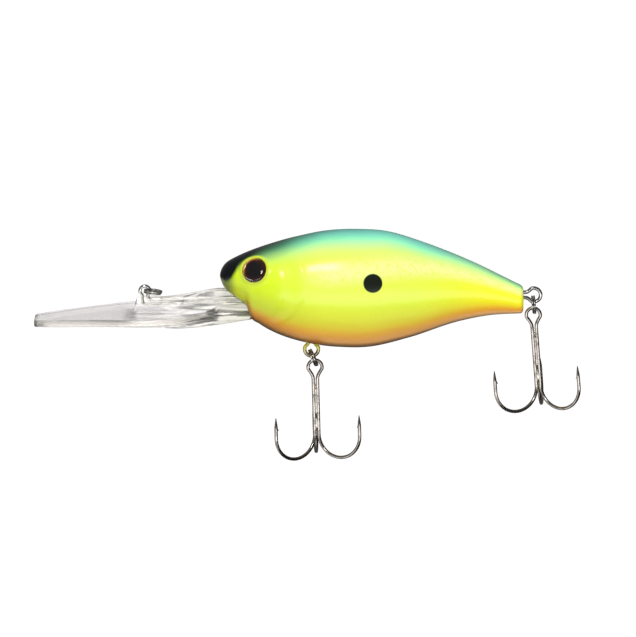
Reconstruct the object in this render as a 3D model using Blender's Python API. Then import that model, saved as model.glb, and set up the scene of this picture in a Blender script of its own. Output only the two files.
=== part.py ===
"""Deep-diving crankbait lure, built as the separate pieces that it is assembled from.

Frame: origin in the line-tie eye, +X towards the tail, +Z towards the back; -Y is the lure's left side.
Lengths are in millimetres up to the point where a mesh is made, which turns them into metres.
"""

import math

import bmesh
import bpy
import numpy as np
from mathutils import Matrix, Vector

MM = 0.001
GAP = 0.3  # clearance between pieces that touch on the real lure

# Body: distances along it are measured from the nose, heights from the line-tie eye.
NOSE_X = 18.0
BODY_LENGTH = 72.8
BODY_TOP = (
    (0.0, 3.9), (0.3, 5.2), (1.4, 6.8), (4.3, 8.5), (10.0, 10.8), (18.7, 13.3),
    (26.0, 14.7), (33.0, 15.0), (40.0, 14.5), (49.0, 11.8), (60.5, 7.2), (BODY_LENGTH, 1.2),
)
BODY_BOTTOM = (
    (0.0, 3.9), (0.3, 2.6), (1.4, 0.3), (4.5, -2.4), (7.2, -5.0), (9.5, -7.9), (13.0, -9.9),
    (19.0, -12.0), (29.0, -13.5), (36.0, -13.4), (46.0, -11.0), (57.6, -7.2), (65.0, -5.8),
    (BODY_LENGTH, -5.4),
)
BODY_HALF_WIDTH = (
    (0.0, 0.6), (0.3, 1.9), (1.4, 3.3), (4.3, 5.2), (8.0, 6.9), (14.4, 8.7), (25.0, 9.9),
    (33.0, 10.0), (42.0, 9.2), (52.0, 7.2), (62.0, 4.6), (BODY_LENGTH, 2.3),
)
SECTION_POWER = 2.15  # 2 is an ellipse, more is squarer
WALL = 1.5
CAVITY_START, CAVITY_END = 20.2, 61.0

# Lip: heights of its plate, ramp and root along the same axis, from the tip to the end of the tongue.
LIP_TIP_X = -26.5
LIP_TONGUE_X = 31.0
LIP_THICKNESS = 1.65
LIP_EDGE_ROUNDING = 0.45
LIP_HALF_WIDTH = (
    (LIP_TIP_X, 3.6), (-26.2, 4.7), (-25.2, 5.6), (-22.3, 7.3), (-16.5, 9.6), (-9.0, 12.4),
    (-3.0, 14.6), (2.0, 15.1), (7.0, 13.6), (11.5, 10.0), (15.5, 6.6), (20.0, 5.1), (25.0, 4.4),
    (LIP_TONGUE_X, 3.6),
)
LIP_PLATE_TOP = ((LIP_TIP_X, -6.35), (-5.0, -4.9), (2.0, -4.65), (12.0, -4.5), (LIP_TONGUE_X, -4.5))
LIP_RAMP_TOP = (
    (LIP_TIP_X, -6.35), (-3.0, -4.8), (-2.4, -3.2), (-2.0, -1.75), (-1.0, -1.45), (5.0, -1.3),
    (10.8, -0.5), (18.5, 0.6), (22.0, 0.3), (LIP_TONGUE_X, -0.4),
)
LIP_ROOT_BOTTOM = (
    (LIP_TIP_X, -8.0), (-5.0, -6.55), (0.0, -7.3), (6.0, -8.5), (12.0, -8.6), (18.0, -8.0),
    (24.5, -6.9), (LIP_TONGUE_X, -5.6),
)
RAMP_HALF_WIDTH = (
    (LIP_TIP_X, 2.0), (-2.0, 1.7), (5.0, 2.3), (14.0, 3.8), (20.0, 4.6), (LIP_TONGUE_X, 3.3),
)
LIP_SHARES = (1.0, 0.93, 0.8, 0.6, 0.42, 0.3, 0.18, 0.08, 0.0)  # of the half width, edge to middle
ROOT_WIDTH_SHARE = 0.62

# Wire forms
TIE_WIRE = 0.8
TIE_EYE_RADIUS = 1.2  # to the middle of the wire
TIE_UPPER_LEG_Z, TIE_LOWER_LEG_Z = -2.35, -3.5
TIE_ANCHOR_X = 34.2
TIE_ANCHOR_RADIUS = 1.25
TIE_MOUTH = (-1.35, 1.6)  # the opening in the ramp under the eye, along X
WIRE_SIDES = 8
HANGER_WIRE = 0.9
HANGER_LOOP_RADIUS = 1.65
HANGER_LEG_OFFSET = 0.62
HANGER_LEG_TOP = 6.95
HANGER_FOOT = 1.9
BELLY_HANGER = (39.96, -14.15)  # x, z of the middle of the loop
TAIL_HANGER = (93.3, -0.95)

# Split rings: two turns of flat wire
RING_RADIUS = 1.95
RING_WIRE_RADIAL, RING_WIRE_AXIAL = 0.6, 0.44
RING_TURN_GAP = 0.06
RING_TURN_ANGLE = math.radians(678)
RING_JOG_START, RING_JOG_END = math.radians(322), math.radians(354)
# From the middle of the hanger's wire down to the middle of the ring
RING_ON_HANGER = {"belly": 0.45, "tail": 0.75}
RING_SHIFT = {"belly": 0.42, "tail": 0.0}  # and towards the tail
RING_LEAN = {"belly": math.radians(24), "tail": math.radians(5)}
RING_CHAMFER = 0.13
TIE_RING_SLOPE = math.radians(-6)

# Treble hooks
HOOK_WIRE = 0.84
HOOK_EYE_RADIUS = 1.68
HOOK_EYE_UNDER_RING = {"belly": 0.3, "tail": 0.5}
HOOK_EYE_FOOT = -16  # degrees, where the eye turns into the neck
NECK_SPREAD = 0.36
NECK_TOP, NECK_DEPTH, SHANK_START = 1.7, 2.7, 4.6  # below the middle of the eye
SHANK_OFFSET = 0.5
SINGLE_SHANK_OFFSET = 1.0
BEND_RADIUS = 5.5
BEND_DEPTH = {"belly": 16.3, "tail": 17.25}  # from the middle of the eye to the middle of the bend
TREBLE_SHIFT = {"belly": 0.84, "tail": -0.13}  # from the hanger towards the tail
TREBLE_TURN = {"belly": math.radians(3), "tail": math.radians(-5)}  # about its own shank
TREBLE_TILT = {"belly": math.radians(-1.5), "tail": math.radians(-4.5)}  # its foot towards the tail
SPEAR_LENGTH = 5.2
SPEAR_LEAN = 0.05
POINT_LENGTH = 2.4
POINT_RADIUS = 0.07
DOUBLE_HOOK_ANGLE = math.radians(30)  # each hook of the pair turns this far to the left of the lure
SINGLE_SHANK_TOP = 4.4

# Eyes
EYE_FROM_NOSE, EYE_Z = 8.3, 6.1
EYE_RADIUS = 2.95
SOCKET_RADIUS = 3.3
SOCKET_DEPTH = 1.35
DISC_THICKNESS = 0.4
DISC_CHAMFER = 0.1
LENS_GAP = 0.1  # above the disc
LENS_EDGE = 0.35
LENS_RISE = 0.75
ROUND_SIDES = 28

# Inside
WEIGHT_FROM_NOSE, WEIGHT_Z = 34.0, -8.0
WEIGHT_RADIUS, WEIGHT_LENGTH = 3.6, 11.0
BALL_RADIUS = 2.2
BALL_PITCH = 4.75
BALL_FROM_NOSE, BALL_Z = 50.5, -1.6  # the middle ball
BALL_TRAVEL = 2.0  # each way
CHAMBER_RADIUS = 2.6
CHAMBER_LENGTH = 3 * BALL_PITCH + 2 * BALL_TRAVEL
PINS = ((30.0, 8.6), (46.0, 7.4))  # from the nose, z
PIN_RADIUS, PIN_LENGTH, PIN_ROOT, PIN_CHAMFER = 1.0, 1.5, 1.5, 0.4
PIN_BOSS_RADIUS = 2.4
HANGER_BOSS_REACH, HANGER_BOSS_ROOF = 4.2, 1.8
CHAMBER_BOSS_REACH = 3.7
ANCHOR_POCKET_X = 28.0
ANCHOR_POCKET_BEHIND = 2.0
ANCHOR_POCKET_Z = (-5.2, -0.6)
WEIGHT_CHAMFER = 0.5
WEIGHT_BOSS_ROOF = 2.0
OUTSIDE_BODY = 12.0  # further out than any skin of the body, in y
BELOW_BODY = -20.0


# ---------------------------------------------------------------------------------------------
# Curves and sections
# ---------------------------------------------------------------------------------------------
def curve_through(knots):
    """A smooth function through (position, value) knots, by cubic Hermite spans."""
    places, values = (np.array(column, float) for column in zip(*knots))
    slopes = np.gradient(values, places)

    def value_at(place):
        place = min(max(place, places[0]), places[-1])
        i = min(int(np.searchsorted(places, place, side="right")) - 1, len(places) - 2)
        span = places[i + 1] - places[i]
        t = (place - places[i]) / span
        start = (1 + 2 * t) * (1 - t) ** 2 * values[i] + t * (1 - t) ** 2 * span * slopes[i]
        end = t * t * (3 - 2 * t) * values[i + 1] + t * t * (t - 1) * span * slopes[i + 1]
        return float(start + end)

    return value_at


def round_nosed(knots):
    """The same, over the square root of the distance, which gives the curve a round front end."""
    value_at = curve_through([(math.sqrt(place), value) for place, value in knots])
    return lambda place: value_at(math.sqrt(max(place, 0.0)))


body_top = round_nosed(BODY_TOP)
body_bottom = round_nosed(BODY_BOTTOM)
body_half_width = round_nosed(BODY_HALF_WIDTH)


def signed_power(value, power):
    return math.copysign(abs(value) ** power, value)


def body_point(along, angle, inset=0.0):
    """A point of the body's skin: angle 90 is the back, 0 the right flank and 180 the left flank."""
    middle = (body_top(along) + body_bottom(along)) / 2
    height = (body_top(along) - body_bottom(along)) / 2 - inset
    width = body_half_width(along) - inset
    power = 2 / SECTION_POWER
    y = width * signed_power(math.cos(angle), power)
    z = middle + height * signed_power(math.sin(angle), power)
    return Vector((NOSE_X + along, y, z))


def flank_point(along, z, side):
    """The point of the skin at this height, on side -1 (left) or 1 (right)."""
    middle = (body_top(along) + body_bottom(along)) / 2
    height = (body_top(along) - body_bottom(along)) / 2
    share = min(abs((z - middle) / height), 1.0)
    y = body_half_width(along) * (1 - share**SECTION_POWER) ** (1 / SECTION_POWER)
    return Vector((NOSE_X + along, side * y, z))


def flank_frame(along, z, side):
    """A matrix at a point of the skin, whose Z axis is the outward normal."""
    step = 0.4
    along_skin = flank_point(along + step, z, side) - flank_point(along - step, z, side)
    up_skin = flank_point(along, z + step, side) - flank_point(along, z - step, side)
    normal = along_skin.cross(up_skin).normalized() * -side
    across = Vector((0, 0, 1)).cross(normal).normalized()
    rotation = Matrix((across, normal.cross(across), normal)).transposed().to_4x4()
    return Matrix.Translation(flank_point(along, z, side)) @ rotation


def arc(centre, radius, start, end, steps):
    """Points in the XZ plane on an arc, angles in degrees from +X towards +Z."""
    angles = [math.radians(start + (end - start) * i / steps) for i in range(steps + 1)]
    x, z = centre
    return [Vector((x + radius * math.cos(a), 0, z + radius * math.sin(a))) for a in angles]


def smoothed(points, per_span):
    """Points on a Catmull-Rom curve through these points."""
    ends = [2 * points[0] - points[1], *points, 2 * points[-1] - points[-2]]
    path = []
    for a, b, c, d in zip(ends, ends[1:], ends[2:], ends[3:]):
        for step in range(per_span):
            t = step / per_span
            path.append(
                0.5 * (2 * b + (c - a) * t + (2 * a - 5 * b + 4 * c - d) * t * t)
                + 0.5 * (3 * b - a - 3 * c + d) * t**3
            )
    return [*path, points[-1]]


# ---------------------------------------------------------------------------------------------
# Meshes
# ---------------------------------------------------------------------------------------------
def add_object(name, mesh, material=None, matrix=None):
    obj = bpy.data.objects.new(name, mesh)
    bpy.context.scene.collection.objects.link(obj)
    if material:
        mesh.materials.append(material)
        mesh.shade_smooth()
        mesh.set_sharp_from_angle(angle=math.radians(40))
    if matrix:
        obj.matrix_world = matrix
    return obj


def mesh_from_rings(name, rings):
    """A closed loft through rings of points in millimetres."""
    bm = bmesh.new()
    rows = [[bm.verts.new(Vector(point) * MM) for point in ring] for ring in rings]
    count = len(rings[0])
    for near, far in zip(rows, rows[1:]):
        for i in range(count):
            j = (i + 1) % count
            bm.faces.new((near[i], near[j], far[j], far[i]))
    bm.faces.new(rows[0])
    bm.faces.new(rows[-1])
    bmesh.ops.recalc_face_normals(bm, faces=bm.faces)
    mesh = bpy.data.meshes.new(name)
    bm.to_mesh(mesh)
    bm.free()
    return mesh


def path_frames(path, first_normal):
    """A tangent, normal and binormal at each point of a path, turned as little as possible."""
    frames = []
    normal = Vector(first_normal)
    for i in range(len(path)):
        tangent = (path[min(i + 1, len(path) - 1)] - path[max(i - 1, 0)]).normalized()
        normal = (normal - tangent * normal.dot(tangent)).normalized()
        frames.append((tangent, normal, tangent.cross(normal)))
    return frames


def round_wire_mesh(name, path, radii, sides=WIRE_SIDES, first_normal=(0, 1, 0)):
    """A round wire along a path; radii is one radius or one for each point."""
    if not isinstance(radii, list):
        radii = [radii] * len(path)
    angles = [2 * math.pi * i / sides for i in range(sides)]
    turns = [(math.cos(a), math.sin(a)) for a in angles]
    rings = []
    for point, radius, (_, normal, binormal) in zip(path, radii, path_frames(path, first_normal)):
        rings.append([point + radius * (c * normal + s * binormal) for c, s in turns])
    return mesh_from_rings(name, rings)


def turned_mesh(name, profile, sides):
    """A solid turned about Z from (radius, height) pairs that start and end off the axis."""
    angles = [2 * math.pi * i / sides for i in range(sides)]
    return mesh_from_rings(
        name, [[(r * math.cos(a), r * math.sin(a), z) for a in angles] for r, z in profile]
    )


def bar_mesh(name, radius, low, high, sides=16):
    """A round bar along Z."""
    return turned_mesh(name, [(radius, low), (radius, high)], sides)


def plate_mesh(name, radius, low, high, chamfer):
    """A round plate or bar along Z with chamfered rims."""
    inner = radius - chamfer
    profile = [(inner, low), (radius, low + chamfer), (radius, high - chamfer), (inner, high)]
    return turned_mesh(name, profile, ROUND_SIDES)


def box_mesh(name, low, high):
    ring = ((low[0], low[1]), (high[0], low[1]), (high[0], high[1]), (low[0], high[1]))
    return mesh_from_rings(name, [[(x, y, z) for x, y in ring] for z in (low[2], high[2])])


def sphere_mesh(name, radius):
    bm = bmesh.new()
    bmesh.ops.create_icosphere(bm, subdivisions=3, radius=radius * MM)
    mesh = bpy.data.meshes.new(name)
    bm.to_mesh(mesh)
    bm.free()
    return mesh


def cutter(name, mesh, matrix=None):
    """A helper that shapes other pieces and isn't a piece itself."""
    obj = add_object(name, mesh, matrix=matrix)
    obj.hide_render = True
    obj.display_type = "WIRE"
    return obj


def combine(obj, other, operation):
    modifier = obj.modifiers.new(other.name, "BOOLEAN")
    modifier.operation = operation
    modifier.object = other


def place(x, y, z, axis="Z"):
    """A matrix that puts a piece made along Z at a point, along the axis named."""
    turn = {"X": Matrix.Rotation(math.pi / 2, 4, "Y"), "Y": Matrix.Rotation(-math.pi / 2, 4, "X")}
    return Matrix.Translation(Vector((x, y, z)) * MM) @ turn.get(axis, Matrix.Identity(4))


def in_metres(matrix):
    scaled = matrix.copy()
    scaled.translation *= MM
    return scaled


def principled(name, colour, roughness, metallic=0.0, transmission=0.0):
    material = bpy.data.materials.new(name)
    material.use_nodes = True
    shader = material.node_tree.nodes["Principled BSDF"]
    shader.inputs["Base Color"].default_value = (*colour, 1.0)
    shader.inputs["Roughness"].default_value = roughness
    shader.inputs["Metallic"].default_value = metallic
    shader.inputs["Transmission Weight"].default_value = transmission
    return material


# ---------------------------------------------------------------------------------------------
# Lip
# ---------------------------------------------------------------------------------------------
def lip_section(x, grow=0.0):
    """One section of the lip across Y, as a closed ring; grow makes the slot that the tongue fits."""
    half_width = curve_through(LIP_HALF_WIDTH)(x) + grow
    plate_top = curve_through(LIP_PLATE_TOP)(x)
    ramp = max(curve_through(LIP_RAMP_TOP)(x) - plate_top, 0.0)
    root = max(plate_top - LIP_THICKNESS - curve_through(LIP_ROOT_BOTTOM)(x), 0.0)
    ramp_half_width = curve_through(RAMP_HALF_WIDTH)(x) + grow
    right = [half_width * share for share in LIP_SHARES]
    across = right + [-y for y in right[-2::-1]]
    floor = plate_top - LIP_THICKNESS - grow

    def rise(y, height, width):
        return height / (1 + (abs(y) / width) ** 4)

    top = [Vector((x, y, plate_top + grow + rise(y, ramp, ramp_half_width))) for y in across]
    root_width = half_width * ROOT_WIDTH_SHARE
    bottom = [Vector((x, y, floor - rise(y, root, root_width))) for y in across[::-1]]
    for ring, sign in ((top, -1), (bottom, 1)):
        for point in (ring[0], ring[-1]):
            point.z += sign * LIP_EDGE_ROUNDING
    return top + bottom


def lip_stations():
    front = [LIP_TIP_X + step for step in (0.0, 0.3, 1.2, 3.5, 7.5, 12.0, 17.0, 21.0)]
    ramp_start = [-3.0, -2.6, -2.2, -1.7, -0.8]
    back = [2.0, 5.0, 8.0, 11.0, 14.0, 17.0, 20.0, 23.0, 27.0, LIP_TONGUE_X]
    return front + ramp_start + back


def build_lip(material):
    mesh = mesh_from_rings("diving_lip", [lip_section(x) for x in lip_stations()])
    lip = add_object("diving_lip", mesh, material)
    combine(lip, tie_wire_channel(), "DIFFERENCE")
    return lip


def lip_slot():
    ahead_of_body = NOSE_X - 8
    stations = [x for x in lip_stations() if x > ahead_of_body] + [LIP_TONGUE_X + GAP]
    return cutter("lip_slot", mesh_from_rings("lip_slot", [lip_section(x, GAP) for x in stations]))


# ---------------------------------------------------------------------------------------------
# Wire forms
# ---------------------------------------------------------------------------------------------
def tie_wire_path():
    """Lower leg, up round the eye, upper leg, and an anchor loop inside the head."""
    upper, lower = TIE_UPPER_LEG_Z, TIE_LOWER_LEG_Z
    middle = (upper + lower) / 2
    start = [(TIE_ANCHOR_X - 2.2, upper), (20.0, upper), (6.0, upper)]
    rise_right = [(1.6, upper + 0.02), (0.75, -1.75)]
    eye = arc((0, 0), TIE_EYE_RADIUS, -55, 235, 14)
    fall_left = [(-0.62, -1.9), (-0.35, lower + 0.35), (0.6, lower)]
    back = [(6.0, lower), (20.0, lower), (TIE_ANCHOR_X - 2.4, lower)]
    anchor = arc((TIE_ANCHOR_X, middle), TIE_ANCHOR_RADIUS, -120, 120, 9)
    to_eye = [Vector((x, 0, z)) for x, z in start + rise_right]
    to_anchor = [Vector((x, 0, z)) for x, z in fall_left + back]
    return smoothed(to_eye + eye + to_anchor + anchor, 2)


def tie_wire_channel():
    """The room that the wire takes in the lip, open at the eye and at the end of the tongue."""
    upper, lower = TIE_UPPER_LEG_Z, TIE_LOWER_LEG_Z
    reach = TIE_WIRE / 2 + GAP
    front, rear = TIE_MOUTH
    low, high = (front, -reach, lower - reach), (LIP_TONGUE_X + 1, reach, upper + reach)
    channel = cutter("tie_wire_channel", box_mesh("tie_wire_channel", low, high))
    above_ramp = 0.5
    mouth = box_mesh("tie_wire_mouth", (front, -reach, upper), (rear, reach, above_ramp))
    combine(channel, cutter("tie_wire_mouth", mouth), "UNION")
    return channel


def build_tie_wire(material):
    mesh = round_wire_mesh("line_tie_wire", tie_wire_path(), TIE_WIRE / 2)
    return add_object("line_tie_wire", mesh, material)


def hanger_path():
    """A loop hanging below its middle, with two legs that run up and end in outward feet."""
    leg, top, radius = HANGER_LEG_OFFSET, HANGER_LEG_TOP, HANGER_LOOP_RADIUS
    foot = [(-leg - HANGER_FOOT, top), (-leg - 1.1, top - 0.05), (-leg - 0.15, top - 0.75)]
    left_leg = foot + [(-leg, top - 1.6), (-leg, 2.5), (-leg - 0.18, 1.45)]
    loop = [(point.x, point.z) for point in arc((0, 0), radius, 160, 380, 11)]
    right_leg = [(-x, z) for x, z in reversed(left_leg)]
    return smoothed([Vector((x, 0, z)) for x, z in left_leg + loop + right_leg], 2)


def hanger_matrix(place_xz, facing_tail):
    turn = Matrix.Rotation(-math.pi / 2 if facing_tail else 0.0, 4, "Y")
    return Matrix.Translation(Vector((place_xz[0], 0, place_xz[1])) * MM) @ turn


def hanger_slots(name, matrix):
    """The room for the wire's legs and for its feet, which both halves of the body share."""
    reach = HANGER_WIRE / 2 + GAP
    leg_side = HANGER_LEG_OFFSET + reach
    foot_side = HANGER_LEG_OFFSET + HANGER_FOOT + GAP
    top = HANGER_LEG_TOP
    legs = box_mesh("legs", (-leg_side, -reach, 0.0), (leg_side, reach, top))
    feet = box_mesh("feet", (-foot_side, -reach, top - reach), (foot_side, reach, top + reach))
    return cutter(name + "_leg_slot", legs, matrix), cutter(name + "_foot_slot", feet, matrix)


def build_hanger(name, place_xz, facing_tail, material):
    """The wire form; returns the cutters for its slot."""
    matrix = hanger_matrix(place_xz, facing_tail)
    add_object(name, round_wire_mesh(name, hanger_path(), HANGER_WIRE / 2), material, matrix)
    return hanger_slots(name, matrix)


# ---------------------------------------------------------------------------------------------
# Split rings
# ---------------------------------------------------------------------------------------------
def ring_mesh(name, steps_per_turn=26):
    """Two turns of flat wire about Z, the second stepping over beside the first."""
    pitch = RING_WIRE_AXIAL + RING_TURN_GAP
    steps = round(RING_TURN_ANGLE / (2 * math.pi) * steps_per_turn)
    half_radial, half_axial = RING_WIRE_RADIAL / 2, RING_WIRE_AXIAL / 2
    chamfer = RING_CHAMFER
    outline = (
        (half_radial, half_axial - chamfer), (half_radial - chamfer, half_axial),
        (chamfer - half_radial, half_axial), (-half_radial, half_axial - chamfer),
        (-half_radial, chamfer - half_axial), (chamfer - half_radial, -half_axial),
        (half_radial - chamfer, -half_axial), (half_radial, chamfer - half_axial),
    )
    rings = []
    for step in range(steps + 1):
        angle = RING_TURN_ANGLE * step / steps
        share = min(max((angle - RING_JOG_START) / (RING_JOG_END - RING_JOG_START), 0.0), 1.0)
        height = pitch * (share * share * (3 - 2 * share) - 0.5)
        direction = Vector((math.cos(angle), math.sin(angle), 0))
        points = [direction * (RING_RADIUS + r) + Vector((0, 0, height + z)) for r, z in outline]
        rings.append(points)
    return mesh_from_rings(name, rings)


def build_split_ring(name, pivot, centre, axis, material):
    """A ring whose object origin is its joint's pivot; axis is the way the ring's own axis points."""
    mesh = ring_mesh(name)
    turn = Vector((0, 0, 1)).rotation_difference(Vector(axis)).to_matrix().to_4x4()
    mesh.transform(Matrix.Translation((Vector(centre) - Vector(pivot)) * MM) @ turn)
    return add_object(name, mesh, material, Matrix.Translation(Vector(pivot) * MM))


# ---------------------------------------------------------------------------------------------
# Treble hooks
# ---------------------------------------------------------------------------------------------
def hook_end(shank, direction, depth):
    """From the shank's foot round the bend to the point."""
    down = Vector((0, 0, -1))
    centre = shank + direction * BEND_RADIUS + down * depth
    angles = [math.radians(180 + 15 * i) for i in range(13)]
    bend = [centre + BEND_RADIUS * (math.cos(a) * direction - math.sin(a) * down) for a in angles]
    spear_foot = bend[-1]
    tip = spear_foot - down * SPEAR_LENGTH - direction * SPEAR_LEAN
    spear = [spear_foot.lerp(tip, share) for share in (0.25, 0.5, 0.68, 0.84, 1.0)]
    return bend + spear


def tapered(path):
    """Wire radii along a path that ends in a ground point."""
    left = [0.0]
    for a, b in zip(path[::-1], path[-2::-1]):
        left.append(left[-1] + (a - b).length)
    full = HOOK_WIRE / 2
    slope = (full - POINT_RADIUS) / POINT_LENGTH
    return [min(full, POINT_RADIUS + slope * distance) for distance in left[::-1]]


def double_hook_path(depth):
    """Half of the pair, from the top of the eye round its right side and down to the right point."""
    eye = arc((0, 0), HOOK_EYE_RADIUS, 90, HOOK_EYE_FOOT, 6)
    shank = Vector((SHANK_OFFSET, 0, 0))
    spreads = ((NECK_SPREAD, NECK_TOP), (0.03, NECK_DEPTH), (0.0, SHANK_START))
    neck = [shank + Vector((x, 0, -down)) for x, down in spreads]
    direction = Vector((math.cos(DOUBLE_HOOK_ANGLE), -math.sin(DOUBLE_HOOK_ANGLE), 0))
    return eye + neck + hook_end(shank, direction, depth)


def mirrored(points):
    return [Vector((-point.x, point.y, point.z)) for point in points]


def build_treble(prefix, pivot, material):
    """The double hook and the single hook behind it, both with their origin on the ring's wire."""
    matrix = Matrix.Translation(Vector(pivot) * MM)
    drop = Matrix.Translation(Vector((0, 0, -HOOK_EYE_UNDER_RING[prefix])) * MM)
    tilt = Matrix.Rotation(TREBLE_TILT[prefix], 4, "Y")
    hang = tilt @ drop @ Matrix.Rotation(TREBLE_TURN[prefix], 4, "Z")
    depth = BEND_DEPTH[prefix]
    half = double_hook_path(depth)
    radii = tapered(half)
    whole = mirrored(half)[:0:-1] + half
    double = round_wire_mesh(prefix + "_treble_double_hook", whole, radii[:0:-1] + radii)
    shank = Vector((0, SINGLE_SHANK_OFFSET, 0))
    path = [shank + Vector((0, 0, -down)) for down in (SINGLE_SHANK_TOP, depth * 0.65)]
    path += hook_end(shank, Vector((0, 1, 0)), depth)
    name = prefix + "_treble_single_hook"
    single = round_wire_mesh(name, path, tapered(path), first_normal=(1, 0, 0))
    for mesh in (double, single):
        mesh.transform(hang)
        add_object(mesh.name, mesh, material, matrix)


# ---------------------------------------------------------------------------------------------
# Eyes
# ---------------------------------------------------------------------------------------------
def build_eye(side, word, disc_material, lens_material):
    """The iris disc and the domed lens in their socket; returns the cutter for the socket."""
    frame = in_metres(flank_frame(EYE_FROM_NOSE, EYE_Z, side))
    floor = -SOCKET_DEPTH + GAP
    disc = plate_mesh("eye_disc_" + word, EYE_RADIUS, floor, floor + DISC_THICKNESS, DISC_CHAMFER)
    add_object("eye_disc_" + word, disc, disc_material, frame)
    foot = floor + DISC_THICKNESS + LENS_GAP
    shoulder = foot + LENS_EDGE
    dome_angles = [math.radians(a) for a in (0, 20, 40, 60, 78)]
    dome = [(EYE_RADIUS * math.cos(a), shoulder + LENS_RISE * math.sin(a)) for a in dome_angles]
    lens = turned_mesh("eye_lens_" + word, [(EYE_RADIUS, foot)] + dome, ROUND_SIDES)
    add_object("eye_lens_" + word, lens, lens_material, frame)
    name = "eye_socket_" + word
    outside = 3.0
    socket = [(SOCKET_RADIUS, -SOCKET_DEPTH), (SOCKET_RADIUS, outside)]
    return cutter(name, turned_mesh(name, socket, ROUND_SIDES), frame)


# ---------------------------------------------------------------------------------------------
# Body
# ---------------------------------------------------------------------------------------------
def body_stations():
    front = [0.03, 0.3, 0.9, 1.9, 3.3, 5.0, 7.0, 9.2, 11.5]
    rest = [14.5 + 3.5 * i for i in range(17)]
    return front + [x for x in rest if x < BODY_LENGTH - 1] + [BODY_LENGTH - 0.5, BODY_LENGTH]


def half_body_mesh(name, side):
    """One half of the body, solid, with its flat face just off the centre plane."""
    steps = 12
    rings = []
    for along in body_stations():
        inset = 0.45 if along == BODY_LENGTH else 0.0
        ring = []
        for i in range(steps + 1):
            point = body_point(along, math.pi / 2 - math.pi * i / steps, inset)
            point.y = side * max(abs(point.y), GAP / 2)
            ring.append(point)
        rings.append(ring)
    return mesh_from_rings(name, rings)


def cavity_cutter():
    """The hollow inside both halves, less the bosses that are left standing in it."""
    steps = 18
    count = 9
    rings = []
    for i in range(count + 1):
        along = CAVITY_START + (CAVITY_END - CAVITY_START) * i / count
        rings.append([body_point(along, 2 * math.pi * j / steps, WALL) for j in range(steps)])
    cavity = cutter("cavity", mesh_from_rings("cavity", rings))
    for name, low, high in boss_boxes():
        combine(cavity, cutter(name, box_mesh(name, low, high)), "DIFFERENCE")
    for i, (along, z) in enumerate(PINS):
        boss = bar_mesh("pin_boss", PIN_BOSS_RADIUS, -OUTSIDE_BODY, OUTSIDE_BODY)
        at = place(NOSE_X + along, 0, z, "Y")
        combine(cavity, cutter(f"pin_boss_{i + 1}", boss, at), "DIFFERENCE")
    return cavity


def boss_boxes():
    """(name, low, high) of the blocks in the hollow that hold the hanger, the weight and the balls."""
    hanger_x, hanger_z = BELLY_HANGER
    weight_x = NOSE_X + WEIGHT_FROM_NOSE
    ball_x = NOSE_X + BALL_FROM_NOSE
    chamber = CHAMBER_LENGTH / 2 + WALL
    weight_reach = WEIGHT_LENGTH / 2 + GAP + WALL
    hanger_roof = hanger_z + HANGER_LEG_TOP + HANGER_BOSS_ROOF
    spans = (
        ("hanger_boss", hanger_x, HANGER_BOSS_REACH, BELOW_BODY, hanger_roof),
        ("weight_boss", weight_x, weight_reach, BELOW_BODY, WEIGHT_Z + WEIGHT_BOSS_ROOF),
        ("chamber_boss", ball_x, chamber, BALL_Z - CHAMBER_BOSS_REACH, BALL_Z + CHAMBER_BOSS_REACH),
    )
    return [
        (name, (x - reach, -OUTSIDE_BODY, low), (x + reach, OUTSIDE_BODY, high))
        for name, x, reach, low, high in spans
    ]


def seat_cutters():
    """The weight's seat, the rattle chamber and the anchor's pocket, cut in both halves."""
    seat_half = WEIGHT_LENGTH / 2 + GAP
    seat = bar_mesh("weight_seat", WEIGHT_RADIUS + GAP, -seat_half, seat_half)
    half = CHAMBER_LENGTH / 2
    chamber = bar_mesh("rattle_chamber", CHAMBER_RADIUS, -half, half)
    reach = TIE_WIRE / 2 + GAP
    low, high = ANCHOR_POCKET_Z
    rear = TIE_ANCHOR_X + ANCHOR_POCKET_BEHIND
    pocket = box_mesh("anchor_pocket", (ANCHOR_POCKET_X, -reach, low), (rear, reach, high))
    return (
        cutter("weight_seat", seat, place(NOSE_X + WEIGHT_FROM_NOSE, 0, WEIGHT_Z, "X")),
        cutter("rattle_chamber", chamber, place(NOSE_X + BALL_FROM_NOSE, 0, BALL_Z, "X")),
        cutter("anchor_pocket", pocket),
    )


def build_shell(name, side, cutters, material):
    shell = add_object(name, half_body_mesh(name, side), material)
    for tool in cutters:
        combine(shell, tool, "DIFFERENCE")
    return shell


def fit_pins(left, right):
    """Pins on the left half that enter sockets in the right half."""
    for i, (along, z) in enumerate(PINS):
        pin = plate_mesh("pin", PIN_RADIUS, -PIN_ROOT, PIN_LENGTH, PIN_CHAMFER)
        socket = bar_mesh("socket", PIN_RADIUS + GAP, -GAP, PIN_LENGTH + 2 * GAP)
        at = place(NOSE_X + along, 0, z, "Y")
        combine(left, cutter(f"pin_{i + 1}", pin, at), "UNION")
        combine(right, cutter(f"pin_socket_{i + 1}", socket, at), "DIFFERENCE")


# ---------------------------------------------------------------------------------------------
# Inside pieces
# ---------------------------------------------------------------------------------------------
def build_weight(material):
    half = WEIGHT_LENGTH / 2
    mesh = plate_mesh("belly_weight", WEIGHT_RADIUS, -half, half, WEIGHT_CHAMFER)
    add_object("belly_weight", mesh, material, place(NOSE_X + WEIGHT_FROM_NOSE, 0, WEIGHT_Z, "X"))


def build_balls(material):
    for i in range(3):
        name = f"rattle_ball_{i + 1}"
        at = place(NOSE_X + BALL_FROM_NOSE + (i - 1) * BALL_PITCH, 0, BALL_Z)
        add_object(name, sphere_mesh(name, BALL_RADIUS), material, at)


def clear_scene():
    for obj in list(bpy.data.objects):
        bpy.data.objects.remove(obj, do_unlink=True)


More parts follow.
